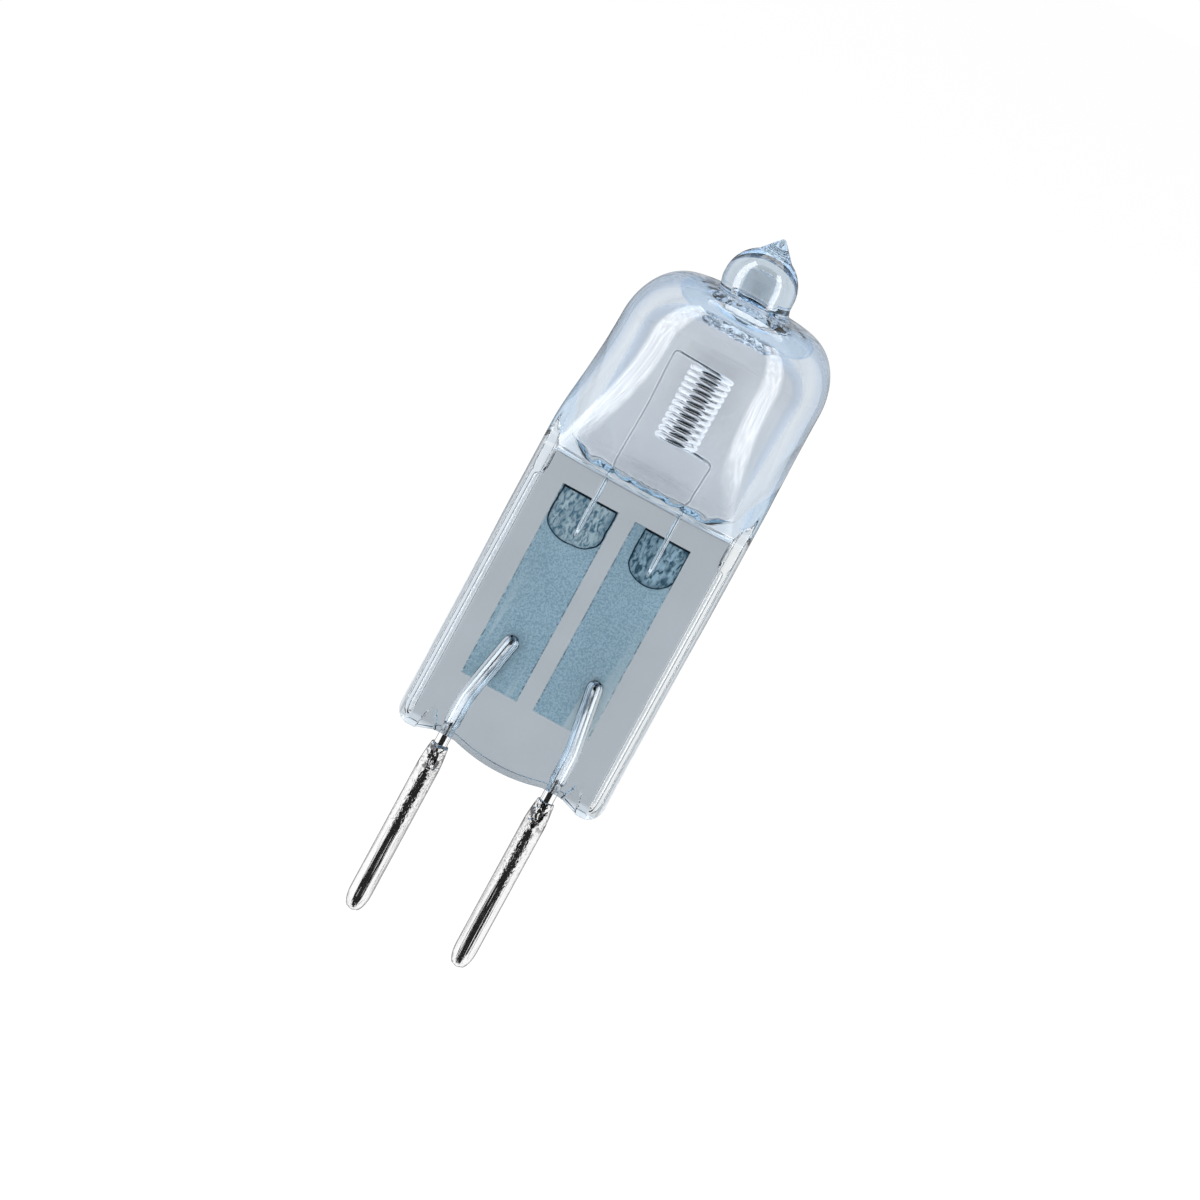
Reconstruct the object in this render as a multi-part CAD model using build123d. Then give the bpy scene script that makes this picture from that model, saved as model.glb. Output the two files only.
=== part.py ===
from build123d import *
import os
from math import cos, pi, radians, sin, sqrt

# Low-voltage halogen capsule lamp with two contact pins, in millimetres.
# Z is the lamp's axis, the wide face of the pinch looks along -Y, and z = 0 is the plane of the pin tips.

# Contact pins: plated sleeves, closed and pointed below, crimped on the leads above
pin_pitch = 6.35
pin_diameter = 1.25
pin_length = 10.1
pin_tip_length = 1.2
pin_tip_flat = 0.35
pin_shoulder_length = 1.5
pin_mouth_diameter = 0.98
pin_bore_depth = 6.3
crimp_radius = 0.6
crimp_depth = 0.07
crimp_below_mouth = 0.75

# Outer leads: molybdenum rods that lean inwards to lie on the foils
lead_diameter = 0.75
lead_neck = 0.75
lead_rise_to_bend = 2.2
lead_bend_radius = 4.0
lead_on_foil = 3.0
lead_lean_left = 0.8
lead_lean_right = 0.65
lead_end_round = 0.12
lead_channel_gap = 0.09

# Pinch: the pressed flat end of the glass
pinch_width = 12.2
pinch_height = 16.2
panel_thickness = 2.8
pinch_edge_round = 1.1
foot_drop = 0.4
foot_width = 1.25
foot_corner_radius = 0.85
tongue_drop = 0.38
notch_width = 1.1
bead_width = 0.56
bead_proud = 0.5
bead_inset = 0.18
bead_round = 0.25
bead_above_foot = 0.3
bead_into_flare = 3.6
bead_end_depth = 2.0
jaw_mark_width = 0.9
jaw_mark_height = 1.6
jaw_mark_depth = 0.25

# Foils: thin strips with feathered edges, sealed in the pinch
foil_width = 3.3
foil_thickness = 0.04
foil_edge_thickness = 0.015
foil_feather = 0.5
foil_spacing = 4.28
foil_shift = -0.23
foil_above_foot = 3.2
foil_below_top = 1.6

# Pockets: thin gaps left over the foils' upper ends
pocket_height = 2.7
pocket_round_height = 1.0
pocket_depth = 0.12
pocket_below_foil_end = 0.05
pocket_width_left = 3.2
pocket_width_right = 2.7
pocket_shift_left = 0.0
pocket_shift_right = 0.32

# Filament: one tungsten wire, a standing coil with its own two legs
wire_diameter = 0.22
coil_diameter = 2.42
coil_pitch = 0.345
coil_turns = 12
coil_above_pinch = 3.1
leg_foot_offset = 2.16
leg_head_offset_left = 2.25
leg_head_offset_right = 2.45
leg_on_foil = 2.15
leg_knee_above_floor = 0.5
leg_knee_radius = 2.0
leg_head_radius_left = 0.25
leg_head_radius_right = 0.4
leg_channel_gap = 0.04

# Bulb: the flare above the pinch, the round shoulder and the sealed exhaust tip
bulb_diameter = 11.62
bulb_wall = 1.15
flare_height = 7.85
flare_ledge_depth = 4.4
shoulder_height = 3.58
shoulder_width = 2.9
dome_wall = 1.3
inner_shoulder_width = 2.4
floor_above_pinch = 0.35
floor_width = 8.8
floor_depth = 1.8
floor_round = 0.35
tip_diameter = 4.0
tip_neck_height = 0.95
tip_neck_round = 0.3
tip_cone_diameter = 1.9
tip_cone_height = 1.0
tip_point_diameter = 0.12
tip_bore_diameter = 1.6
tip_bore_above_dome = 1.5
tip_bore_end_height = 0.4
tip_mouth_height = 0.7
lip_diameter = 3.6
lip_width = 0.7
lip_drop = 0.32

# Shares and counts that shape the lofted flare
oval_end_angle = 80.0
flare_sections = 8

# Heights and places that follow from the sizes above
pin_offset = pin_pitch / 2
pin_radius = pin_diameter / 2
lead_radius = lead_diameter / 2
wire_radius = wire_diameter / 2
pinch_foot = pin_length + lead_neck
pinch_top = pinch_foot + pinch_height
panel_half = panel_thickness / 2
flare_top = pinch_top + flare_height
cavity_floor = pinch_top + floor_above_pinch
dome_top = flare_top + shoulder_height
dome_inside = dome_top - dome_wall
bulb_radius = bulb_diameter / 2
cavity_radius = bulb_radius - bulb_wall
foil_bottom = pinch_foot + foil_above_foot
foil_top = pinch_top - foil_below_top
foil_front = lead_radius
leg_depth = foil_front - wire_radius
leg_bottom = foil_top - leg_on_foil
coil_radius = (coil_diameter - wire_diameter) / 2
coil_bottom = pinch_top + coil_above_pinch
coil_height = coil_turns * coil_pitch
coil_top = coil_bottom + coil_height
coil_slope = coil_pitch / (2 * pi * coil_radius)

LEFT = -1
RIGHT = 1
FRONT = -1
BACK = 1


def profile(*edges):
    """Face in the XZ plane from edges drawn as (radius or x, height)."""
    return Plane.XZ * make_face(list(edges))


def rod(path, radius):
    """Round bar of one radius along a path."""
    return sweep(Plane(origin=path @ 0, z_dir=path % 0) * Circle(radius), path=path)


def contact_pin(side):
    """Sleeve with an ogive tip, a blind bore for the lead and two crimps in its rounded shoulder."""
    shoulder = pin_length - pin_shoulder_length
    bore_end = pin_length - pin_bore_depth
    mouth_radius = pin_mouth_diameter / 2
    outline = profile(
        Line((0, 0), (pin_tip_flat / 2, 0)),
        TangentArc((pin_radius, pin_tip_length), (pin_tip_flat / 2, 0), tangent=(0, -1)),
        Line((pin_radius, pin_tip_length), (pin_radius, shoulder)),
        TangentArc((pin_radius, shoulder), (mouth_radius, pin_length), tangent=(0, 1)),
        Line((mouth_radius, pin_length), (lead_radius, pin_length)),
        Line((lead_radius, pin_length), (lead_radius, bore_end)),
        Line((lead_radius, bore_end), (0, bore_end)),
        Line((0, bore_end), (0, 0)),
    )
    pin = revolve(outline, Axis.Z)
    crimp_height = pin_length - crimp_below_mouth
    crimp_reach = mouth_radius + crimp_radius - crimp_depth
    crimp = Rotation(0, 90, 0) * Cylinder(crimp_radius, pin_diameter)
    for face in (FRONT, BACK):
        pin -= Pos(0, face * crimp_reach, crimp_height) * crimp
    return Pos(side * pin_offset, 0, 0) * pin


def lead_path(side, lean, low, high):
    """Centre line of a lead: upright, one gentle bend, then straight towards the lamp's axis."""
    bend = pinch_foot + lead_rise_to_bend
    end = foil_bottom + lead_on_foil
    inward_per_rise = -side * lean / (end - bend)
    foot_point = (side * pin_offset, 0, low)
    bend_point = (side * pin_offset, 0, bend)
    end_point = (side * pin_offset + inward_per_rise * (high - bend), 0, high)
    return FilletPolyline(foot_point, bend_point, end_point, radius=lead_bend_radius)


def outer_lead(side, lean):
    """Rod from the bottom of the pin's bore to its rounded end on the foil."""
    path = lead_path(side, lean, pin_length - pin_bore_depth, foil_bottom + lead_on_foil)
    lead = rod(path, lead_radius)
    upper_rim = lead.edges().filter_by(GeomType.CIRCLE).sort_by(Axis.Z)[-1]
    return fillet(upper_rim, lead_end_round)


def lead_channel(side, lean):
    """Narrow space round a lead, open at the pinch's foot."""
    low = pinch_foot - foot_drop - tongue_drop
    path = lead_path(side, lean, low, foil_bottom + lead_on_foil + lead_channel_gap)
    return rod(path, lead_radius + lead_channel_gap)


def foil(side):
    """Flat strip behind the lead and the leg, thinner along its two long edges."""
    half_width = foil_width / 2
    flat_half = half_width - foil_feather
    back = foil_front + foil_thickness
    edge_front = foil_front + (foil_thickness - foil_edge_thickness) / 2
    edge_back = edge_front + foil_edge_thickness
    section = Polyline(
        (-half_width, edge_front),
        (-flat_half, foil_front),
        (flat_half, foil_front),
        (half_width, edge_front),
        (half_width, edge_back),
        (flat_half, back),
        (-flat_half, back),
        (-half_width, edge_back),
        close=True,
    )
    strip = extrude(make_face(section), foil_top - foil_bottom)
    return Pos(foil_centre(side), 0, foil_bottom) * strip


def foil_centre(side):
    """Distance of a foil's middle line from the lamp's axis, along X."""
    return side * foil_spacing / 2 + foil_shift


def foil_pocket(side, width, shift):
    """D-shaped gap in front of a foil's upper end, straight above and rounded below."""
    top = foil_top - pocket_below_foil_end
    straight = pocket_height - pocket_round_height
    middle = top - straight
    half_width = width / 2
    outline = profile(
        EllipticalCenterArc((0, middle), half_width, pocket_round_height, 180, arc_size=180),
        Line((half_width, middle), (half_width, top)),
        Line((half_width, top), (-half_width, top)),
        Line((-half_width, top), (-half_width, middle)),
    )
    gap = extrude(outline, pocket_depth)
    return Pos(foil_centre(side) + shift, foil_front, 0) * gap


def leg_path(side, head_offset, head_radius):
    """Centre line of a leg from its foot on the foil to the coil's end, where it runs into the wire."""
    coil_end = coil_top if side == LEFT else coil_bottom
    head = coil_end - side * head_offset * coil_slope
    knee = cavity_floor + leg_knee_above_floor
    return FilletPolyline(
        (side * leg_foot_offset, leg_depth, leg_bottom),
        (side * leg_foot_offset, leg_depth, knee),
        (side * head_offset, coil_radius, head),
        (0, coil_radius, coil_end),
        radius=(leg_knee_radius, head_radius),
    )


def filament():
    """Right-handed coil and its two legs as one wire."""
    helix = Pos(0, 0, coil_bottom) * Rotation(0, 0, 90) * Helix(coil_pitch, coil_height, coil_radius)
    wire = rod(helix, wire_radius)
    wire += rod(leg_path(LEFT, leg_head_offset_left, leg_head_radius_left), wire_radius)
    wire += rod(leg_path(RIGHT, leg_head_offset_right, leg_head_radius_right), wire_radius)
    return wire


def leg_channel(side):
    """Narrow upright hole round a leg, from the bulb's floor down to the leg's foot."""
    low = leg_bottom - leg_channel_gap
    high = cavity_floor + floor_round
    hole = Cylinder(wire_radius + leg_channel_gap, high - low)
    return Pos(side * leg_foot_offset, leg_depth, (low + high) / 2) * hole


def oval(half_width, half_depth, height):
    """Flat oval of four tangent arcs at a height: two round ends and two shallow faces."""
    angle = radians(oval_end_angle)
    difference = (half_width - half_depth) / (cos(angle) + sin(angle) - 1)
    end_radius = half_depth - difference * (1 - sin(angle))
    face_radius = end_radius + difference
    end_middle = half_width - end_radius
    face_middle = half_depth - face_radius
    face_span = 180 - 2 * oval_end_angle
    section = make_face(
        [
            CenterArc((end_middle, 0), end_radius, -oval_end_angle, 2 * oval_end_angle),
            CenterArc((0, face_middle), face_radius, oval_end_angle, face_span),
            CenterArc((-end_middle, 0), end_radius, 180 - oval_end_angle, 2 * oval_end_angle),
            CenterArc((0, -face_middle), face_radius, 180 + oval_end_angle, face_span),
        ]
    )
    return Pos(0, 0, height) * section


def flare(low, high, low_width, low_depth, round_radius):
    """Loft from a flat oval up to a circle, with walls that come upright into the circle."""
    sections = []
    for step in range(flare_sections):
        rise = step / (flare_sections - 1)
        widening = (1 - cos(pi * rise)) / 2
        deepening = sin(pi * rise / 2)
        half_width = low_width / 2 + (round_radius - low_width / 2) * widening
        half_depth = low_depth / 2 + (round_radius - low_depth / 2) * deepening
        sections.append(oval(half_width, half_depth, low + (high - low) * rise))
    return loft(sections)


def dome():
    """Shoulder, flat crown and exhaust tip turned about the axis."""
    tip_radius = tip_diameter / 2
    cone_radius = tip_cone_diameter / 2
    point_radius = tip_point_diameter / 2
    cap_middle = dome_top + tip_neck_height
    cone_base = cap_middle + sqrt(tip_radius**2 - cone_radius**2)
    point = cone_base + tip_cone_height
    neck_start = tip_radius + tip_neck_round
    outline = profile(
        Line((0, flare_top), (bulb_radius, flare_top)),
        EllipticalCenterArc((bulb_radius - shoulder_width, flare_top), shoulder_width, shoulder_height),
        Line((bulb_radius - shoulder_width, dome_top), (neck_start, dome_top)),
        TangentArc((neck_start, dome_top), (tip_radius, dome_top + tip_neck_round), tangent=(-1, 0)),
        Line((tip_radius, dome_top + tip_neck_round), (tip_radius, cap_middle)),
        TangentArc((tip_radius, cap_middle), (cone_radius, cone_base), tangent=(0, 1)),
        Line((cone_radius, cone_base), (point_radius, point)),
        Line((point_radius, point), (0, point)),
        Line((0, point), (0, flare_top)),
    )
    return revolve(outline, Axis.Z)


def dome_hollow():
    """Space under the shoulder, with the fused lip round the exhaust bore's mouth and the bore itself."""
    bore_radius = tip_bore_diameter / 2
    bore_end = dome_top + tip_bore_above_dome
    bore_straight_end = bore_end - tip_bore_end_height
    lip_outer = (lip_diameter + lip_width) / 2
    lip_inner = (lip_diameter - lip_width) / 2
    lip_low_point = (lip_diameter / 2, dome_inside - lip_drop)
    crown_start = cavity_radius - inner_shoulder_width
    inner_height = dome_inside - flare_top
    mouth_top = dome_inside + tip_mouth_height
    outline = profile(
        Line((0, flare_top), (cavity_radius, flare_top)),
        EllipticalCenterArc((crown_start, flare_top), inner_shoulder_width, inner_height),
        Line((crown_start, dome_inside), (lip_outer, dome_inside)),
        ThreePointArc((lip_outer, dome_inside), lip_low_point, (lip_inner, dome_inside)),
        TangentArc((bore_radius, mouth_top), (lip_inner, dome_inside), tangent=(0, -1)),
        Line((bore_radius, mouth_top), (bore_radius, bore_straight_end)),
        TangentArc((0, bore_end), (bore_radius, bore_straight_end), tangent=(1, 0)),
        Line((0, bore_end), (0, flare_top)),
    )
    return revolve(outline, Axis.Z)


def bulb_space():
    """Gas space of the bulb: rounded oval floor, widening walls and the hollow of the dome."""
    lower = flare(cavity_floor, flare_top, floor_width, floor_depth, cavity_radius)
    floor_rim = lower.faces().sort_by(Axis.Z)[0].edges()
    return fillet(floor_rim, floor_round) + dome_hollow()


def pinch_panel():
    """Flat panel with rounded sides, two feet, a notch at each lead and a bowed tongue between them."""
    half_width = pinch_width / 2
    foot = pinch_foot - foot_drop
    notch_inner = pin_offset - notch_width / 2
    notch_outer = pin_offset + notch_width / 2
    foot_inner = half_width - foot_width
    corner = foot + foot_corner_radius
    corner_inner = half_width - foot_corner_radius
    tongue_low_point = (0, pinch_foot - tongue_drop)
    edges = [ThreePointArc((-notch_inner, pinch_foot), tongue_low_point, (notch_inner, pinch_foot))]
    for side in (LEFT, RIGHT):
        edges += [
            Line((side * notch_inner, pinch_foot), (side * notch_outer, pinch_foot)),
            Line((side * notch_outer, pinch_foot), (side * foot_inner, foot)),
            Line((side * foot_inner, foot), (side * corner_inner, foot)),
            TangentArc((side * half_width, corner), (side * corner_inner, foot), tangent=(0, -1)),
            Line((side * half_width, corner), (side * half_width, pinch_top)),
        ]
    edges.append(Line((-half_width, pinch_top), (half_width, pinch_top)))
    outline = extrude(profile(*edges), panel_half, both=True)
    section = RectangleRounded(pinch_width, panel_thickness, pinch_edge_round)
    rounded_bar = Pos(0, 0, foot) * extrude(section, pinch_top - foot)
    return outline & rounded_bar


def bead(side):
    """Raised rib along one side of the pinch, on its front and back, that sinks into the flare above."""
    low = pinch_foot + bead_above_foot
    high = pinch_top + bead_into_flare
    reach = panel_half + bead_proud
    end_reach = bead_end_depth / 2
    side_view = Polyline(
        (-reach, low),
        (reach, low),
        (reach, pinch_top),
        (end_reach, high),
        (-end_reach, high),
        (-reach, pinch_top),
        close=True,
    )
    rib = extrude(Plane.YZ * make_face(side_view), -side * bead_width)
    outer = side * (pinch_width / 2 - bead_inset)
    return Pos(outer, 0, 0) * fillet(rib.edges(), bead_round)


def jaw_mark(side, face):
    """Small sloping facet that the press leaves beside a notch, deepest at the foot."""
    foot = pinch_foot - foot_drop
    inner = side * (pin_offset + notch_width / 2)
    outer = inner + side * jaw_mark_width
    outline = make_face(Polyline((inner, foot), (outer, foot), (outer, foot + jaw_mark_height), close=True))
    slope = make_face(Polyline((0, 0), (-face * jaw_mark_depth, 0), (0, jaw_mark_height), close=True))
    column = extrude(Plane.XZ * outline, panel_thickness, both=True)
    wedge = Pos(0, face * panel_half, foot) * extrude(Plane.YZ * slope, pinch_width, both=True)
    return column & wedge


def quartz_envelope(cut_by):
    """Bulb and pinch in one piece of glass, hollow, with room for the metal that is sealed in it."""
    glass = flare(pinch_top, flare_top, pinch_width, flare_ledge_depth, bulb_radius)
    glass += dome() + pinch_panel()
    for side in (LEFT, RIGHT):
        glass += bead(side)
        for face in (FRONT, BACK):
            glass -= jaw_mark(side, face)
    glass -= bulb_space()
    for piece in cut_by:
        glass -= piece
    return glass


foil_left = foil(LEFT)
foil_right = foil(RIGHT)
spaces = [
    foil_pocket(LEFT, pocket_width_left, pocket_shift_left),
    foil_pocket(RIGHT, pocket_width_right, pocket_shift_right),
    leg_channel(LEFT),
    leg_channel(RIGHT),
    lead_channel(LEFT, lead_lean_left),
    lead_channel(RIGHT, lead_lean_right),
]
pieces = {
    "quartz_envelope": quartz_envelope([foil_left, foil_right] + spaces),
    "filament": filament(),
    "foil_left": foil_left,
    "foil_right": foil_right,
    "outer_lead_left": outer_lead(LEFT, lead_lean_left),
    "outer_lead_right": outer_lead(RIGHT, lead_lean_right),
    "contact_pin_left": contact_pin(LEFT),
    "contact_pin_right": contact_pin(RIGHT),
}

os.makedirs("parts", exist_ok=True)
for name, piece in pieces.items():
    export_step(piece, f"parts/{name}.step")
    state = "valid" if piece.is_valid else "not valid"
    print(name, len(piece.solids()), "solids", round(piece.volume, 4), "mm3", state)
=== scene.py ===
"""Looks of a clear halogen capsule bulb: envelope, filament, sealing foils, leads and contact pins."""
import logging
import math
from dataclasses import dataclass, field
from enum import Enum
from typing import List, Sequence, Tuple, Union

import bpy
import numpy as np
from mathutils import Matrix, Vector, noise


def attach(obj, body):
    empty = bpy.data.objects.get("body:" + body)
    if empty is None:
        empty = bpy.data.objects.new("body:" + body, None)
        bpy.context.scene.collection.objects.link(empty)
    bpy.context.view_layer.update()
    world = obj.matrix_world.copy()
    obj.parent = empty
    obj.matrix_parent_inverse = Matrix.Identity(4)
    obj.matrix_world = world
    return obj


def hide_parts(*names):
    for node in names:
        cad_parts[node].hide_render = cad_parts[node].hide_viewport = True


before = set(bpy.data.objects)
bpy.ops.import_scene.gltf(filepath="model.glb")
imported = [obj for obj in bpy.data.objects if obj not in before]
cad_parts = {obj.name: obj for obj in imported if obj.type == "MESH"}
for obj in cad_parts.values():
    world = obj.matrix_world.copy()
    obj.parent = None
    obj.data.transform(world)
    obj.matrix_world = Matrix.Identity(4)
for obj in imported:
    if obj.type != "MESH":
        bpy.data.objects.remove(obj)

LOG = logging.getLogger("halogen_capsule")
MM = 0.001
BODY = "root"
QUARTER = math.pi / 2
PIN_PITCH = 6.35
Colour = Tuple[float, float, float]
Point = Tuple[float, float, float]
Profile = List[Tuple[float, float]]
Socket = bpy.types.NodeSocket
Value = Union[Socket, float, Colour]
WHITE: Colour = (1.0, 1.0, 1.0)


class Side(Enum):
    """Which of the two mirrored pieces is meant, as the sign of its X."""

    LEFT = -1
    RIGHT = 1

    @property
    def word(self) -> str:
        """Lower-case word for names."""
        return self.name.lower()


class Mirror(Enum):
    """What shows a dark card."""

    PINS = "metal outside the glass"
    WIRES = "metal inside the glass"
    GLASS = "the front walls of the glass"


class Facing(Enum):
    """Which way the faces of a closed shell look."""

    OUTWARD = "outward"
    INWARD = "inward"


def points(*axes: object) -> np.ndarray:
    """Rows of coordinates from one array or number per axis."""
    return np.stack(np.broadcast_arrays(*axes), axis=1).astype(float)


def smooth_step(low: float, high: float, value: np.ndarray) -> np.ndarray:
    """Share from 0 to 1 by which a value has eased from low to high."""
    share = np.clip((np.asarray(value, float) - low) / (high - low), 0.0, 1.0)
    return share * share * (3.0 - 2.0 * share)


def resample(path: np.ndarray, shares: np.ndarray) -> np.ndarray:
    """Points at given shares of a path's length.

    Args:
        path: Points of the path, one per row.
        shares: Shares of its length, from 0 to 1.

    Returns:
        One point per share.
    """
    steps = np.linalg.norm(np.diff(path, axis=0), axis=1)
    length = np.concatenate([[0.0], np.cumsum(steps)])
    wanted = np.asarray(shares, float) * length[-1]
    return points(*[np.interp(wanted, length, column) for column in path.T])


def soften(path: np.ndarray, rounds: int) -> np.ndarray:
    """Cut the corners of an open path, with its two ends kept.

    Args:
        path: Points of the path, one per row.
        rounds: How often the corners are cut.

    Returns:
        The softer path.
    """
    for _ in range(rounds):
        first = 0.75 * path[:-1] + 0.25 * path[1:]
        second = 0.25 * path[:-1] + 0.75 * path[1:]
        middle = np.stack([first, second], axis=1).reshape(-1, path.shape[1])
        path = np.concatenate([path[:1], middle, path[-1:]])
    return path


def superellipse(half_width: float, half_depth: float, power: float) -> np.ndarray:
    """Quarter of a flattened oval, from the middle of its face to the middle of its end.

    Args:
        half_width: Reach along X.
        half_depth: Reach along Y.
        power: 2 for an ellipse, more for a squarer oval.

    Returns:
        Points (x, y), one per row.
    """
    angle = np.linspace(0.0, QUARTER, 400)
    x = half_width * np.sin(angle) ** (2.0 / power)
    y = half_depth * np.cos(angle) ** (2.0 / power)
    return points(x, np.clip(y, 0.0, None))


def blown_oval(base: Sequence[float], radius: float, rise: float) -> np.ndarray:
    """Quarter of the oval at a share of the way from a flattened base up to the round bulb.

    Args:
        base: Half width, half depth and squareness of the base, where 0 is an ellipse.
        radius: Radius of the bulb.
        rise: Share of the way, from 0 to 1.

    Returns:
        Points (x, y), one per row.
    """
    wide, deep, square = base
    width = wide + (radius - wide) * (1 - math.cos(math.pi * rise)) / 2
    depth = deep + (radius - deep) * math.sin(math.pi * rise / 2)
    return superellipse(width, depth, 2.0 + square * (1.0 - rise) ** 1.6)


def bow(radius: float, height: float, out: float, up: float, angles: Sequence[float]) -> Profile:
    """Radius and height of points on an elliptic bow, from its centre, its two reaches and the angles."""
    return [(radius + out * math.cos(angle), height + up * math.sin(angle)) for angle in angles]


def full_ring(quarter: np.ndarray) -> np.ndarray:
    """Closed ring from a quarter section, mirrored in X and Y.

    Args:
        quarter: Points (x, y, z) from the middle of the front to the end of the section.

    Returns:
        Ring of points, with the last one on the first.
    """
    back_left = (quarter * (-1, 1, 1))[1:]
    front_left = (quarter * (-1, -1, 1))[::-1][1:]
    return np.concatenate([quarter * (1, -1, 1), quarter[::-1][1:], back_left, front_left])


def rounded_path(corners: Sequence[Point], reach: float, steps: int = 10) -> np.ndarray:
    """Path through corner points with each inner corner rounded.

    Args:
        corners: Corner points.
        reach: Distance from a corner at which its rounding starts.
        steps: Points on each rounding.

    Returns:
        Points of the path.
    """
    places = [np.array(corner, float) for corner in corners]
    path = [places[0]]
    for before, corner, after in zip(places, places[1:], places[2:]):
        back = before - corner
        on = after - corner
        cut = min(reach, np.linalg.norm(back) * 0.45, np.linalg.norm(on) * 0.45)
        start = corner + back / np.linalg.norm(back) * cut
        end = corner + on / np.linalg.norm(on) * cut
        for share in np.linspace(0.0, 1.0, steps):
            path.append((1 - share) ** 2 * start + 2 * share * (1 - share) * corner + share ** 2 * end)
    path.append(places[-1])
    return np.array(path)


class Workbench:
    """The few modelling steps that every piece goes through."""

    @staticmethod
    def deselect() -> None:
        """Leave nothing selected."""
        bpy.ops.object.select_all(action="DESELECT")

    @classmethod
    def pick(cls, piece: bpy.types.Object) -> None:
        """Select one object and make it the active one.

        Args:
            piece: The object.
        """
        cls.deselect()
        piece.select_set(True)
        bpy.context.view_layer.objects.active = piece

    @classmethod
    def wrap(cls, name: str, rows: Sequence[np.ndarray], facing: Facing = Facing.OUTWARD) -> bpy.types.Object:
        """Lay a grid round a form, row by row, and weld its seam and its closed ends.

        Args:
            name: Name of the new object.
            rows: Rings of points in millimetres, all of one length.
            facing: Which way the faces look.

        Returns:
            The welded object, with its place in its mesh.
        """
        cls.deselect()
        steps = len(rows) - 1
        bpy.ops.mesh.primitive_grid_add(x_subdivisions=len(rows[0]) - 1, y_subdivisions=steps, size=1.0)
        piece = bpy.context.object
        piece.name = name
        piece.data.name = name
        flat = (np.concatenate(rows) * MM).astype(np.float32).ravel()
        piece.data.vertices.foreach_set("co", flat)
        piece.data.update()
        bpy.ops.object.mode_set(mode="EDIT")
        bpy.ops.mesh.select_all(action="SELECT")
        bpy.ops.mesh.remove_doubles(threshold=1e-7)
        bpy.ops.mesh.dissolve_degenerate(threshold=1e-8)
        bpy.ops.mesh.select_all(action="SELECT")
        bpy.ops.mesh.normals_make_consistent(inside=facing is Facing.INWARD)
        bpy.ops.object.mode_set(mode="OBJECT")
        bpy.ops.object.shade_smooth()
        return piece

    @classmethod
    def tube(cls, name: str, path: np.ndarray, radius: Sequence[float], sides: int) -> bpy.types.Object:
        """Round wire along a path, with closed ends.

        Args:
            name: Name of the new object.
            path: Points of its centre line in millimetres.
            radius: Radius at each point in millimetres.
            sides: Number of sides of its section.

        Returns:
            The wire as a mesh object.
        """
        tangent = np.gradient(path, axis=0)
        tangent /= np.linalg.norm(tangent, axis=1)[:, None]
        normal = np.cross(tangent[0], (0.0, 1.0, 0.0))
        if np.linalg.norm(normal) < 0.1:
            normal = np.cross(tangent[0], (1.0, 0.0, 0.0))
        angle = np.linspace(0.0, 2 * math.pi, sides + 1)
        rows = [np.repeat(path[:1], sides + 1, axis=0)]
        for place, along, reach in zip(path, tangent, radius):
            normal = normal - along * float(normal @ along)
            normal = normal / np.linalg.norm(normal)
            across = np.cross(along, normal)
            ring = np.outer(np.cos(angle), normal) + np.outer(np.sin(angle), across)
            rows.append(place + reach * ring)
        rows.append(np.repeat(path[-1:], sides + 1, axis=0))
        piece = cls.wrap(name, rows)
        bpy.ops.object.shade_smooth_by_angle(angle=math.radians(50.0))
        return piece

    @classmethod
    def join(cls, pieces: Sequence[bpy.types.Object]) -> bpy.types.Object:
        """Join several objects into the first one.

        Args:
            pieces: Objects to join, the one to keep first.

        Returns:
            The joined object.
        """
        cls.pick(pieces[0])
        for piece in pieces[1:]:
            piece.select_set(True)
        bpy.ops.object.join()
        return pieces[0]

    @classmethod
    def unite(cls, piece: bpy.types.Object, other: bpy.types.Object) -> None:
        """Add the form of another object to a piece and remove the other.

        Args:
            piece: Object to keep.
            other: Object that is used up.
        """
        cls.pick(piece)
        union = piece.modifiers.new("union", "BOOLEAN")
        union.operation = "UNION"
        union.solver = "EXACT"
        union.object = other
        bpy.ops.object.modifier_apply(modifier=union.name)
        bpy.data.objects.remove(other, do_unlink=True)

    @classmethod
    def turn_inwards(cls, piece: bpy.types.Object) -> None:
        """Let the faces of a closed form look inwards, with its edges kept crisp.

        Args:
            piece: The closed form.
        """
        cls.pick(piece)
        bpy.ops.object.mode_set(mode="EDIT")
        bpy.ops.mesh.select_all(action="SELECT")
        bpy.ops.mesh.normals_make_consistent(inside=True)
        bpy.ops.object.mode_set(mode="OBJECT")
        bpy.ops.object.shade_smooth_by_angle(angle=math.radians(35.0))

    @classmethod
    def seat(cls, piece: bpy.types.Object, material: bpy.types.Material, slot: str, *nodes: str) -> None:
        """Dress a finished piece and set it in the frame in place of its CAD nodes.

        Args:
            piece: The finished object.
            material: Its material.
            slot: Name of a material slot, which is not used.
            nodes: CAD nodes that it stands for.
        """
        piece.data.materials.clear()
        piece.data.materials.append(material)
        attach(piece, BODY)
        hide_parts(*nodes)
        LOG.info("%s: %d faces", piece.name, len(piece.data.polygons))


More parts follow.
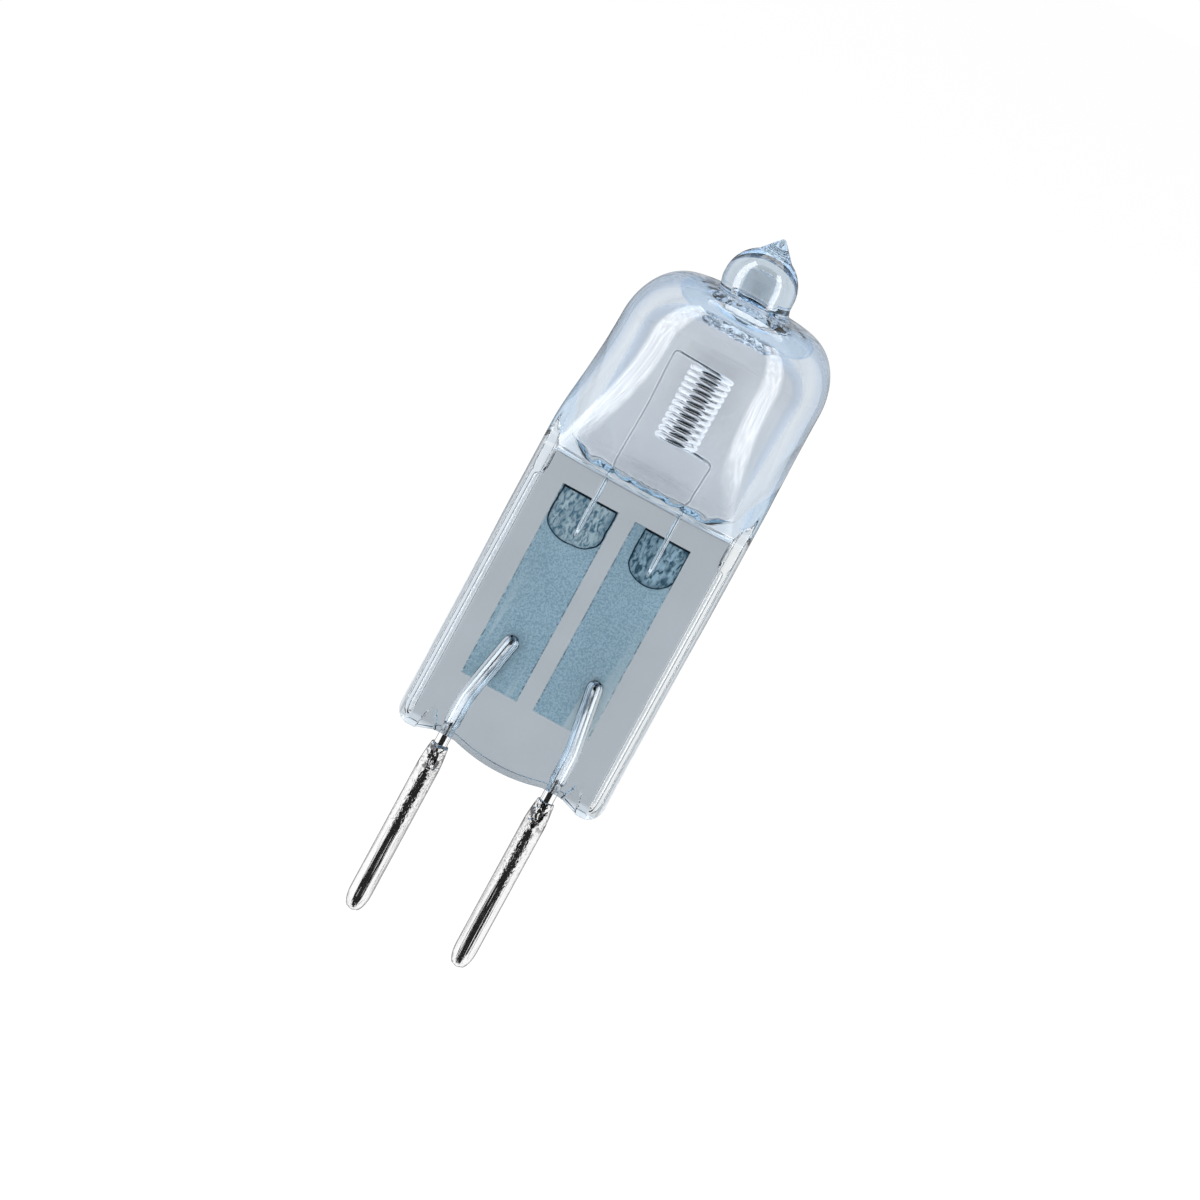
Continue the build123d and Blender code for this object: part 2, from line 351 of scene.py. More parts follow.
class NodeBench:
    """Short hand for building the node tree of a material or of the world."""

    def __init__(self, name: str, sky: bool = False) -> None:
        """Start an empty material or an empty world.

        Args:
            name: Its name.
            sky: Whether it is a world.
        """
        self.owner = bpy.data.worlds.new(name) if sky else bpy.data.materials.new(name)
        self.owner.use_nodes = True
        self.tree = self.owner.node_tree
        self.tree.nodes.clear()
        self.output = self.add("ShaderNodeOutputWorld" if sky else "ShaderNodeOutputMaterial")

    def add(self, kind: str, **settings: object) -> bpy.types.Node:
        """Add a node.

        Args:
            kind: Blender's name of the node type.
            settings: Node properties, or input values under the input's name with _ for a space.

        Returns:
            The new node.
        """
        node = self.tree.nodes.new(kind)
        for key, value in settings.items():
            if hasattr(node, key):
                setattr(node, key, value)
            else:
                self.feed(value, node.inputs[key.replace("_", " ")])
        return node

    def feed(self, value: Value, target: Socket) -> None:
        """Link a socket to an input, or set the input to a number, a vector or a colour.

        Args:
            value: What goes in.
            target: The input.
        """
        if isinstance(value, Socket):
            self.tree.links.new(value, target)
        elif target.type == "RGBA":
            target.default_value = (*value, 1.0)
        else:
            target.default_value = value

    def place(self) -> Socket:
        """Object coordinates."""
        return self.add("ShaderNodeTexCoord").outputs["Object"]

    def split(self, vector: Socket) -> Sequence[Socket]:
        """The three parts of a vector."""
        return self.add("ShaderNodeSeparateXYZ", Vector=vector).outputs

    def axes(self) -> Sequence[Socket]:
        """X, Y and Z of the object coordinates in millimetres."""
        scaled = self.add("ShaderNodeVectorMath", operation="SCALE", Vector=self.place(), Scale=1 / MM)
        return self.split(scaled.outputs[0])

    def math(self, operation: str, *values: Value) -> Socket:
        """Result of a Math node.

        Args:
            operation: Blender's name of the operation.
            values: Sockets or numbers, in the node's order.

        Returns:
            The node's output.
        """
        node = self.add("ShaderNodeMath", operation=operation)
        for value, target in zip(values, node.inputs):
            self.feed(value, target)
        return node.outputs[0]

    def product(self, first: Value, *others: Value) -> Socket:
        """Product of several sockets or numbers.

        Args:
            first: Socket or number.
            others: More of them.

        Returns:
            The product.
        """
        for other in others:
            first = self.math("MULTIPLY", first, other)
        return first

    def distance(self, first: Socket, second: Socket) -> Socket:
        """Length of the diagonal over two sides."""
        squares = self.math("POWER", first, 2.0), self.math("POWER", second, 2.0)
        return self.math("SQRT", self.math("ADD", *squares))

    def away(self, value: Socket, centre: float) -> Socket:
        """Distance of a value from a centre."""
        return self.math("ABSOLUTE", self.math("SUBTRACT", value, centre))

    def ramp(self, value: Socket, low: float, high: float, start: float = 0.0, end: float = 1.0) -> Socket:
        """Smooth change of a value from one range into another.

        Args:
            value: Socket to read.
            low: Value at the start of the range.
            high: Value at its end.
            start: Result at low.
            end: Result at high.

        Returns:
            The eased result.
        """
        limits = {"From_Min": low, "From_Max": high, "To_Min": start, "To_Max": end}
        node = self.add("ShaderNodeMapRange", interpolation_type="SMOOTHSTEP", Value=value, **limits)
        return node.outputs["Result"]

    def band(self, value: Socket, low: float, high: float, soft: float) -> Socket:
        """Mask that is 1 between two values and 0 outside, with soft ends of a given width."""
        return self.product(self.ramp(value, low, low + soft), self.ramp(value, high - soft, high, 1.0, 0.0))

    def grain(self, scale: float, detail: float = 2.0, stretch: Point = (1.0, 1.0, 1.0),
              crumple: float = 0.0) -> Socket:
        """Noise on the object coordinates.

        Args:
            scale: Features per metre.
            detail: Octaves of the noise.
            stretch: Factors on X, Y and Z before the noise is read.
            crumple: How much the noise is distorted.

        Returns:
            The noise value.
        """
        mapping = self.add("ShaderNodeMapping", Vector=self.place(), Scale=stretch)
        node = self.add("ShaderNodeTexNoise", Vector=mapping.outputs[0], Scale=scale, Detail=detail)
        node.inputs["Distortion"].default_value = crumple
        return node.outputs["Fac"]

    def blend(self, share: Value, first: Value, second: Value, mode: str = "MIX") -> Socket:
        """Mix two colours.

        Args:
            share: How much of the second colour, from 0 to 1.
            first: Socket or colour.
            second: Socket or colour.
            mode: Blender's name of the way to mix.

        Returns:
            The mixed colour.
        """
        node = self.add("ShaderNodeMix", data_type="RGBA", blend_type=mode)
        for index, value in ((0, share), (6, first), (7, second)):
            self.feed(value, node.inputs[index])
        return node.outputs[2]

    def paint(self, base: Value, layers: Sequence[Tuple[Socket, Value]]) -> Socket:
        """Lay colours over each other.

        Args:
            base: Lowest colour.
            layers: Mask and colour of each layer above it.

        Returns:
            The painted colour.
        """
        for mask, colour in layers:
            base = self.blend(mask, base, colour)
        return base

    def bump(self, height: Socket, distance: float, strength: float) -> Socket:
        """Normal from a height between 0 and 1, with the size of the relief in metres."""
        node = self.add("ShaderNodeBump", Height=height, Distance=distance, Strength=strength)
        return node.outputs["Normal"]

    def finish(self, shader: bpy.types.Node) -> bpy.types.ID:
        """Send a shader to the output and hand over the material or world."""
        self.feed(shader.outputs[0], self.output.inputs["Surface"])
        return self.owner

    def surface(self, **inputs: Value) -> bpy.types.ID:
        """Finish a material with a Principled shader, its inputs named with _ for a space."""
        return self.finish(self.add("ShaderNodeBsdfPrincipled", **inputs))


@dataclass(frozen=True)
class QuartzFinish:
    """Clear quartz with a cool cast, greyer where it is pressed flat and bluer through its length, with
    painted shade on its rims, crown, cone and bead edges and painted light on its beads, foot and ledge.
    """

    pinch_tint: Colour = (0.467, 0.487, 0.511)
    bulb_tint: Colour = (0.757, 0.771, 0.798)
    rim_painted_shade: Colour = (0.5, 0.58, 0.7)
    left_rim_painted_shade: Colour = (0.45, 0.54, 0.675)
    crown_painted_shade: Colour = (0.46, 0.61, 0.78)
    crown_edge_painted_shade: Colour = (0.28, 0.44, 0.66)
    tip_tint: Colour = (0.62, 0.67, 0.715)
    bead_painted_light: Colour = (0.87, 0.87, 0.885)
    right_bead_painted_light: Colour = (1.0, 0.96, 0.92)
    bead_edge_painted_shade: Colour = (0.42, 0.43, 0.46)
    foot_painted_light: Colour = (0.92, 0.96, 1.0)
    depth_tint: Colour = (0.25, 0.66, 0.95)
    cone_painted_shade: Colour = (0.33, 0.37, 0.395)
    face_gloss: Colour = (0.03, 0.03, 0.03)
    crown_shift: float = 0.3
    depth_strength: float = 55.0
    wave_depth: float = 0.00002
    ior: float = 1.458

    def material(self, pinch_foot: float, pinch_top: float, dome_top: float) -> bpy.types.Material:
        """Glass whose surface tint follows the place, with painted shade and painted highlights laid into
        that tint, and a blue tint in its depth.

        Args:
            pinch_foot: Height of the pinch's lower edge in millimetres.
            pinch_top: Height of its upper edge.
            dome_top: Height of the crown round the tip.

        Returns:
            The material.
        """
        bench = NodeBench("quartz_glass")
        x, y, z = bench.axes()
        wide = bench.math("ABSOLUTE", x)
        skin = bench.ramp(bench.math("ABSOLUTE", y), 0.6, 0.9)
        rise = bench.ramp(z, pinch_top - 0.03, pinch_top + 0.3)
        # Painted light: the side beads get a lighter tint than the pinch, lighter and warmer on the right.
        beads = bench.blend(bench.ramp(x, 0.0, 1.0), self.bead_painted_light, self.right_bead_painted_light)
        # Painted shade: where the bulb's faces are seen at a grazing angle its tint turns darker blue-grey,
        # darker on the left side.
        rim_shade_by_side = bench.blend(bench.ramp(x, -2.0, 2.0), self.left_rim_painted_shade, self.rim_painted_shade)
        foot = bench.ramp(z, pinch_foot - 0.2, pinch_foot + 0.05, 1.0, 0.0)
        crown = bench.band(z, dome_top - 0.3, dome_top + 0.12, 0.06)
        reach = bench.distance(bench.math("SUBTRACT", x, self.crown_shift), y)
        facing = bench.add("ShaderNodeLayerWeight", Blend=0.5).outputs["Facing"]
        ledge = bench.band(z, pinch_top - 0.06, pinch_top + 0.2, 0.03)
        tint = bench.paint(WHITE, (
            (skin, self.pinch_tint),
            (bench.ramp(wide, 5.25, 5.5), beads),
            # Painted shade: a dark line along the outer flank of the side beads.
            (bench.band(wide, 5.77, 5.91, 0.04), self.bead_edge_painted_shade),
            # Painted light: the pinch's lower edge outside the tongue gets a lighter, faintly blue tint.
            (bench.product(foot, bench.ramp(wide, 2.5, 3.2)), self.foot_painted_light),
            (rise, self.bulb_tint),
            # Painted shade: a darker blue disc on the crown round the tip, shifted to the right, with a
            # darker ring at its edge.
            (bench.product(crown, bench.ramp(reach, 3.85, 4.0, 1.0, 0.0)), self.crown_painted_shade),
            (bench.product(crown, bench.band(reach, 3.9, 4.08, 0.05)), self.crown_edge_painted_shade),
            (bench.ramp(z, dome_top + 0.25, dome_top + 0.45), self.tip_tint),
            # Painted shade: the cone at the tip's point is tinted dark grey.
            (bench.ramp(z, dome_top + 2.62, dome_top + 2.75), self.cone_painted_shade),
            (bench.product(bench.ramp(facing, 0.44, 0.6), bench.ramp(z, 29.0, 31.0)), rim_shade_by_side),
            # Painted highlight: the skin at the ledge on top of the pinch is left untinted, so it shows as a
            # bright line.
            (bench.product(ledge, skin), WHITE),
        ))
        cloud = bench.ramp(bench.grain(260.0), 0.3, 0.7, 0.94, 1.0)
        outside = bench.math("SUBTRACT", 1.0, bench.add("ShaderNodeNewGeometry").outputs["Backfacing"])
        panel = bench.band(z, pinch_foot, pinch_top - 0.05, 0.1)
        face = bench.product(panel, skin, bench.ramp(wide, 5.15, 5.3, 1.0, 0.0), outside)
        waves = bench.product(bench.grain(420.0, 1.0), rise)
        depth = bench.add("ShaderNodeVolumeAbsorption", Color=self.depth_tint, Density=self.depth_strength)
        bench.feed(depth.outputs[0], bench.output.inputs["Volume"])
        return bench.surface(
            Base_Color=bench.blend(1.0, tint, cloud, "MULTIPLY"), Roughness=0.0, IOR=self.ior,
            Transmission_Weight=1.0, Specular_Tint=bench.blend(face, WHITE, self.face_gloss),
            Normal=bench.bump(waves, self.wave_depth, 0.35))


@dataclass(frozen=True)
class WireFinish:
    """Drawn wire or rod: bright metal with fine lines along it and a little dark bloom."""

    name: str
    colour: Colour
    bloom: Colour
    roughness: float
    line_depth: float
    bloom_from: float
    bloom_share: float
    matt_beyond: float
    line_scale: float = 5000.0
    dull_from: float = 10.9
    matt_from: float = 27.1

    def material(self) -> bpy.types.Material:
        """Metal with lines drawn along Z, softer in the foot of the glass and half matt on the legs.

        Returns:
            The material.
        """
        bench = NodeBench(self.name)
        x, _, z = bench.axes()
        lines = bench.grain(self.line_scale, 2.0, (1.0, 1.0, 0.05))
        spots = bench.grain(self.line_scale * 0.3, 3.0, (1.0, 1.0, 0.3))
        above = bench.ramp(z, self.bloom_from - 0.3, self.bloom_from + 0.5)
        bloom = bench.product(bench.ramp(spots, 0.42, 0.6, 0.0, self.bloom_share), above)
        dull = bench.band(z, self.dull_from, self.bloom_from, 0.4)
        beyond = bench.ramp(bench.math("ABSOLUTE", x), self.matt_beyond - 0.2, self.matt_beyond, 0.0, 0.45)
        matt = bench.product(beyond, bench.ramp(z, self.matt_from, self.matt_from + 0.4))
        soft = bench.math("MAXIMUM", bench.product(dull, 0.06), bench.product(matt, 0.4))
        gloss = bench.ramp(lines, 0.3, 0.7, self.roughness * 0.7, self.roughness * 1.4)
        return bench.surface(
            Base_Color=bench.blend(bloom, self.colour, self.bloom),
            Metallic=bench.math("SUBTRACT", 1.0, matt),
            Roughness=bench.math("ADD", gloss, soft),
            Normal=bench.bump(lines, self.line_depth, 0.5))


@dataclass(frozen=True)
class ContactFinish:
    """Bright plating, streaked along the lower half, mottled above and stained on the crimped shoulder."""

    colour: Colour = (0.9, 0.9, 0.9)
    stain: Colour = (0.16, 0.16, 0.17)
    roughness: float = 0.16
    mottle_from: float = 4.2
    stain_from: float = 8.2
    hammering: float = 38.0
    relief: float = 0.00001

    def material(self) -> bpy.types.Material:
        """Plated metal in three zones.

        Returns:
            The material.
        """
        bench = NodeBench("plated_contact")
        _, _, z = bench.axes()
        upper = bench.ramp(z, self.mottle_from, self.mottle_from + 1.6)
        zone = bench.ramp(z, self.stain_from, self.stain_from + 0.7)
        streaks = bench.ramp(bench.grain(9000.0, 2.0, (1.0, 1.0, 0.02)), 0.45, 0.65)
        mottle = bench.ramp(bench.grain(9000.0, 2.0, (1.0, 1.0, 0.6)), 0.4, 0.65)
        change = bench.product(upper, bench.math("SUBTRACT", mottle, streaks))
        hammered = bench.product(bench.grain(2200.0), zone, self.hammering)
        height = bench.math("ADD", bench.math("ADD", streaks, change), hammered)
        blots = bench.product(bench.ramp(bench.grain(2600.0, 3.0), 0.5, 0.62), zone)
        freckles = bench.product(bench.ramp(bench.grain(5200.0), 0.62, 0.7, 0.0, 0.45), upper)
        stained = bench.math("MAXIMUM", blots, freckles)
        return bench.surface(
            Base_Color=bench.blend(stained, self.colour, self.stain),
            Metallic=1.0,
            Roughness=bench.ramp(mottle, 0.3, 0.7, self.roughness * 0.7, self.roughness * 1.4),
            Normal=bench.bump(height, self.relief, 0.85))


@dataclass(frozen=True)
class PocketSize:
    """D-shaped gap in front of a foil's upper end. Sizes are in millimetres."""

    centre: float
    width: float
    top: float = 25.4
    middle: float = 23.7
    low: float = 22.7
    front: float = 0.255
    back: float = 0.39
    chamfer: float = 0.1


@dataclass(frozen=True)
class FoilFinish:
    """Thin etched foil, blue-grey and finely grained, with painted dark shade and glints where the glass has
    not wetted it, and painted dark outlines and crease highlights.
    """

    colour: Colour = (0.66, 0.85, 0.92)
    grain: Colour = (0.42, 0.6, 0.68)
    crease_painted_highlight: Colour = (0.9, 1.0, 1.0)
    bare_painted_glint: Colour = (0.86, 1.0, 1.0)
    bare_painted_shade: Colour = (0.12, 0.25, 0.34)
    painted_outline_shade: Colour = (0.012, 0.035, 0.05)
    roughness: float = 0.6
    gloss: float = 0.25
    grain_depth: float = 0.000006

    def material(self, name: str, centre: float, half: float, gap: PocketSize) -> bpy.types.Material:
        """Half-matt metal with a fine grain, painted highlights on a few creases and painted shade, glints
        and outlines on the bare patch of its pocket.

        Args:
            name: Name of the material.
            centre: X of the foil's middle in millimetres.
            half: Half of the foil's width.
            gap: Place and size of the pocket in front of it.

        Returns:
            The material.
        """
        bench = NodeBench(name)
        x, _, z = bench.axes()
        fine = bench.grain(12000.0, 3.0)
        folds = bench.ramp(bench.grain(1500.0, 1.0, (1.0, 1.0, 0.06)), 0.56, 0.66)
        hem = bench.ramp(bench.away(x, centre), half - 0.09, half - 0.03)
        dots = bench.ramp(bench.grain(6000.0, 1.0), 0.42, 0.6, 0.0, 0.6)
        side = bench.math("DIVIDE", bench.away(x, gap.centre), gap.width / 2)
        down = bench.math("MAXIMUM", bench.math("SUBTRACT", gap.middle, z), 0.0)
        down = bench.math("DIVIDE", down, gap.middle - gap.low)
        wobble = bench.ramp(bench.grain(1300.0), 0.25, 0.75, -0.025, 0.025)
        reach = bench.math("ADD", bench.distance(side, down), wobble)
        inside = bench.ramp(reach, 0.985, 1.0, 1.0, 0.0)
        # Painted reflection: the bare patch is painted with dark mottled shade and light glints, darker
        # towards its rim.
        glint_facets = bench.ramp(bench.grain(5200.0, 7.0, (1.0, 1.0, 0.5), 0.7), 0.36, 0.6)
        shadow = bench.ramp(bench.grain(1500.0, 2.0, (1.0, 1.0, 0.35)), 0.45, 0.65, 0.0, 0.4)
        bare = bench.paint(self.bare_painted_shade, (
            (glint_facets, self.bare_painted_glint),
            (shadow, self.bare_painted_shade),
            (bench.ramp(reach, 0.6, 1.0, 0.0, 0.45), self.bare_painted_shade),
        ))
        # Painted shade: a dark outline round the bare patch and along its top, and dark specks along the
        # foil's edges.
        line = bench.product(bench.ramp(reach, 0.935, 0.955), bench.ramp(reach, 0.995, 1.01, 1.0, 0.0))
        over = bench.product(bench.ramp(z, gap.top - 0.09, gap.top - 0.06), inside)
        face = bench.paint(self.colour, (
            (bench.ramp(fine, 0.36, 0.66), self.grain),
            # Painted highlight: pale streaks along the folds, fading upwards.
            (bench.product(folds, bench.ramp(z, 13.0, 22.5, 1.0, 0.0)), self.crease_painted_highlight),
            (bench.product(hem, dots), self.painted_outline_shade),
            (inside, bare),
            (bench.math("MAXIMUM", line, over), self.painted_outline_shade),
        ))
        return bench.surface(Base_Color=face, Roughness=self.roughness, Specular_IOR_Level=self.gloss,
                             Normal=bench.bump(fine, self.grain_depth, 0.5))


@dataclass(frozen=True)
class FoilSize:
    """Strip of foil that both sides of the pinch hold. Sizes are in millimetres."""

    width: float = 3.3
    low: float = 14.05
    high: float = 25.45
    front: float = 0.385
    thickness: float = 0.03
    spacing: float = 4.28
    shift: float = -0.23

    def centre(self, side: Side) -> float:
        """X of the middle of the foil on one side."""
        return side.value * self.spacing / 2 + self.shift


@dataclass
class QuartzEnvelope:
    """Bulb, exhaust tip and pressed pinch in one piece of quartz. Sizes are in millimetres."""

    half_width: float = 6.1
    panel_half: float = 1.4
    pinch_foot: float = 10.85
    foot_low: float = 10.45
    foot_corner: float = 0.85
    foot_rim: float = 0.07
    foot_zone: float = 2.4
    bead_start: float = 0.3
    bead_full: float = 1.3
    tongue_half: float = 2.6
    tongue_drop: float = 0.38
    mark_in: float = 3.7
    mark_out: float = 4.8
    mark_height: float = 1.6
    mark_depth: float = 0.25
    mark_slopes: Tuple[float, float] = (0.72, 0.34)
    pinch_top: float = 27.05
    ledge_half: float = 2.2
    ledge_squareness: float = 0.8
    flare_top: float = 34.9
    bulb_radius: float = 5.809
    dome_top: float = 38.48
    shoulder_width: float = 2.9
    shoulder_bulge: float = 0.06
    cavity_radius: float = 4.66
    floor_lift: float = 0.35
    bowl_half_width: float = 4.5
    bowl_half_depth: float = 1.45
    bowl_height: float = 1.05
    bowl_squareness: float = 0.3
    dip_place: float = 3.3
    dip_depth: float = 0.5
    hump_height: float = 0.1
    floor_swell: float = 0.13
    dome_inside: float = 37.38
    dome_flat: float = 2.2
    lip_radius: float = 1.8
    lip_half: float = 0.35
    lip_drop: float = 0.32
    lip_rough: float = 0.2
    lip_swirl: float = 0.14
    tip_radius: float = 2.0
    tip_neck: float = 0.95
    tip_fillet: float = 0.3
    tip_cone_radius: float = 0.95
    bore_radius: float = 0.9
    bore_height: float = 2.5
    bore_cap: float = 0.4
    leg_channel: float = 0.15
    lead_channel: float = 0.465
    foil_face: float = 0.4
    slot_gap: float = 0.007
    slot_share: float = 0.6
    slot_margin: float = 0.04
    side_columns: int = 46
    cavity_columns: int = 61
    finish: QuartzFinish = field(default_factory=QuartzFinish)

    def flat_places(self) -> np.ndarray:
        """X of the columns on the flat face of the pinch, close together at the press marks."""
        marks = np.linspace(3.62, 4.86, 27)
        return np.concatenate([np.linspace(0.0, 3.5, 13), marks, [5.05, self.half_width - 0.85]])

    def side_path(self, inner: float, proud: float) -> np.ndarray:
        """Section of the pinch's side from the flat face to the middle of the side, with its bead.

        Args:
            inner: Shift of the bead's inner flank towards the axis.
            proud: Share of the bead's height, from 0 for none.

        Returns:
            Points (x, y) of the columns on the side.
        """
        beaded = np.array([
            (0.85, 1.40), (0.78 + inner, 1.40), (0.73 + inner, 1.48), (0.66 + inner, 1.66),
            (0.58 + inner, 1.78), (0.48, 1.8), (0.34, 1.8), (0.25, 1.76), (0.16, 1.62), (0.1, 1.4),
            (0.06, 1.1), (0.03, 0.8), (0.0, 0.45), (0.0, 0.0),
        ])
        plain = np.array([
            (0.85, 1.40), (0.73, 1.37), (0.6, 1.32), (0.45, 1.22), (0.3, 1.08), (0.18, 0.9), (0.08, 0.66),
            (0.02, 0.42), (0.0, 0.2), (0.0, 0.0),
        ])
        shares = np.linspace(0.0, 1.0, self.side_columns + 1)
        with_bead = resample(soften(beaded, 3), shares)
        without = resample(soften(plain, 3), shares)
        path = without + (with_bead - without) * proud
        path[:, 0] = self.half_width - path[:, 0]
        return path

    def pinch_section(self, inner: float, proud: float) -> np.ndarray:
        """Quarter section (x, y) of the pinch, flat face and side together, for the same bead."""
        face = points(self.flat_places(), self.panel_half)
        return np.concatenate([face, self.side_path(inner, proud)[1:]])

    def foot_line(self, x: np.ndarray) -> np.ndarray:
        """Height of the pinch's lower edge: tongue, notches for the leads and rounded feet.

        Args:
            x: Distances from the axis.

        Returns:
            Heights.
        """
        turn = self.half_width - self.foot_corner
        half = self.tongue_half
        tongue = self.pinch_foot - self.tongue_drop * (1.0 - (np.clip(x, 0.0, half) / half) ** 2)
        places = [half, self.mark_in, self.mark_out, turn]
        notch = np.interp(x, places, [self.pinch_foot, self.pinch_foot, self.foot_low, self.foot_low])
        fall = np.clip(self.foot_corner ** 2 - np.clip(x - turn, 0.0, self.foot_corner) ** 2, 0.0, None)
        corner = self.foot_low + self.foot_corner - np.sqrt(fall)
        return np.where(x < half, tongue, np.where(x < turn, notch, corner))

    def jaw_dent(self, x: np.ndarray, z: np.ndarray) -> np.ndarray:
        """Depth of the small sloping facet that the press leaves beside each notch.

        Args:
            x: Distances from the axis.
            z: Heights.

        Returns:
            Depths of the dent.
        """
        rise = (z - self.foot_low) / self.mark_height
        near, far = self.mark_slopes
        inside = (x > self.mark_in + near * rise) & (x < self.mark_out - far * rise) & (rise < 1.0)
        return np.where(inside, self.mark_depth * np.clip(1.0 - rise, 0.0, 1.0), 0.0)

    def lean(self, row: np.ndarray) -> np.ndarray:
        """Shift a ring by the slight lean of the blown bulb to the right of the pinch.

        Args:
            row: Ring of points.

        Returns:
            The shifted ring.
        """
        heights = self.pinch_top + np.array([1.4, 2.8, 4.2, 6.2, 8.2, 10.0, 11.4, 11.9])
        row[:, 0] += np.interp(row[:, 2], heights, [0.0, 0.05, 0.13, 0.21, 0.25, 0.29, 0.32, 0.08])
        return row

    def flare(self, z: float) -> np.ndarray:
        """Quarter section of the bulb's outside at a height above the pinch.

        Args:
            z: Height.

        Returns:
            Points (x, y), one per row.
        """
        rise = min(max((z - self.pinch_top) / (self.flare_top - self.pinch_top), 0.0), 1.0)
        base = (self.half_width, self.ledge_half, self.ledge_squareness)
        return blown_oval(base, self.bulb_radius, rise)

    def foot_rows(self) -> List[np.ndarray]:
        """Rows over the foot: closed below, with a rounded rim, the notches and the press marks.

        Returns:
            Quarter sections, from below.
        """
        rows = []
        section = self.pinch_section(0.0, 0.0)
        beaded = self.pinch_section(0.0, 1.0)
        x, y = section.T
        low = self.foot_line(x)
        rim = np.minimum(self.foot_rim, y)
        dent = self.jaw_dent(x, low)
        for share in (0.0, 0.4, 0.8):
            rows.append(points(x, (y - rim - dent) * share, low))
        for angle in np.radians([0.0, 22.5, 45.0, 67.5]):
            rows.append(points(x, y - rim - dent + rim * np.sin(angle), low + rim * (1.0 - np.cos(angle))))
        ceiling = self.pinch_foot + self.foot_zone
        for share in np.linspace(0.0, 1.0, 27):
            z = low + rim + (ceiling - low - rim) * share
            grown = smooth_step(self.foot_low + self.bead_start, self.foot_low + self.bead_full, z)
            across, out = (section + (beaded - section) * np.sqrt(grown)[:, None]).T
            rows.append(points(across, out - self.jaw_dent(across, z), z))
        return rows

    def flare_rows(self) -> List[np.ndarray]:
        """Rows from the top of the pinch over its ledge and the fading beads up to the round bulb.

        Returns:
            Quarter sections, from below.
        """
        top = self.pinch_top
        flat_count = len(self.flat_places())
        columns = flat_count + self.side_columns
        base = self.flare(top)
        steps = np.concatenate([[0.0], np.cumsum(np.linalg.norm(np.diff(base, axis=0), axis=1))])
        flat_shares = np.interp(self.flat_places(), base[:, 0], steps / steps[-1])
        rest = np.linspace(flat_shares[-1], 1.0, self.side_columns + 1)[1:]
        base_shares = np.concatenate([flat_shares, rest])
        even = np.linspace(0.0, 1.0, columns)
        along_side = np.linspace(0.0, 1.0, self.side_columns)
        fade_height = np.interp(along_side, [0, 0.3, 0.6, 1], [1.25, 1.85, 3.75, 3.45])
        heights = [(-0.3, 0.0), (-0.15, 0.03), (-0.06, 0.1), (-0.01, 0.22), (0.01, 0.4), (0.02, 0.62)]
        heights += [(0.035, 0.85), (0.06, 1.02), (0.1, 1.12), (0.15, 1.15), (0.2, 1.13), (0.26, 1.06)]
        heights += [(0.31, 1.01), (0.36, 1.0)]
        rises = [*np.linspace(0.45, 2.25, 11), *np.linspace(2.5, self.flare_top - top, 22)]
        heights += [(rise, 1.0) for rise in rises]
        pinch = self.pinch_section(0.2, 1.0)
        rows = []
        for rise, stepped in heights:
            shares = base_shares + (even - base_shares) * float(smooth_step(0.25, 6.75, rise))
            oval = resample(self.flare(top + rise), shares)
            fade = np.full(columns, stepped)
            fade[flat_count:] = smooth_step(0.0, 1.0, (rise - 0.05) / (fade_height - 0.05))
            shape = pinch + (oval - pinch) * fade[:, None]
            rows.append(points(*shape.T, top + rise))
        return rows

    def dome_profile(self) -> Profile:
        """Outline of the shoulder, crown, tip and point.

        Returns:
            Radius and height of each ring, from below.
        """
        out = []
        foot = self.dome_top
        crown = self.bulb_radius - self.shoulder_width
        for angle in np.linspace(0.0, QUARTER, 24)[1:]:
            bulge = self.shoulder_bulge * math.sin(2.0 * angle) ** 2
            height = self.flare_top + (foot - self.flare_top) * math.sin(angle) + bulge
            out.append((crown + self.shoulder_width * math.cos(angle), height))
        out += [(2.6, foot), (2.42, foot), (2.32, foot + 0.005)]
        fillet = self.tip_fillet
        for angle in np.radians([20, 40, 60, 80]):
            radius = self.tip_radius + fillet - fillet * math.sin(angle)
            out.append((radius, foot + fillet * (1 - math.cos(angle))))
        out += [(self.tip_radius, foot + 0.32), (self.tip_radius, foot + 0.6)]
        cap = foot + self.tip_neck
        turn = np.linspace(0.0, math.acos(self.tip_cone_radius / self.tip_radius), 12)
        out += bow(0.0, cap, self.tip_radius, self.tip_radius, turn)
        cone = cap + math.sqrt(self.tip_radius ** 2 - self.tip_cone_radius ** 2)
        for share in (0.06, 0.15, 0.3, 0.5, 0.7, 0.85, 0.95):
            out.append((self.tip_cone_radius - (self.tip_cone_radius - 0.06) * share, cone + share))
        return out + [(0.05, cone + 0.985), (0.0, cone + 1.0)]

    def hollow_profile(self) -> Profile:
        """Outline of the dome's inside, the fused lip and the exhaust bore.

        Returns:
            Radius and height of each ring, from the dome's foot to the end of the bore.
        """
        inside = self.dome_inside
        rise = inside - self.flare_top
        width = self.cavity_radius - self.dome_flat
        out = bow(self.dome_flat, self.flare_top, width, rise, np.linspace(0.0, QUARTER, 18)[1:])
        out += bow(self.lip_radius, inside, self.lip_half, -self.lip_drop, np.linspace(0.0, math.pi, 15)[1:])
        out += [(1.25, inside + 0.06), (1.07, inside + 0.22), (0.96, inside + 0.45)]
        out += [(self.bore_radius, inside + height) for height in (0.75, 1.5, self.bore_height)]
        end = inside + self.bore_height
        out += bow(0.0, end, self.bore_radius, self.bore_cap, np.radians([25, 50, 70, 82]))
        return out + [(0.0, end + self.bore_cap)]

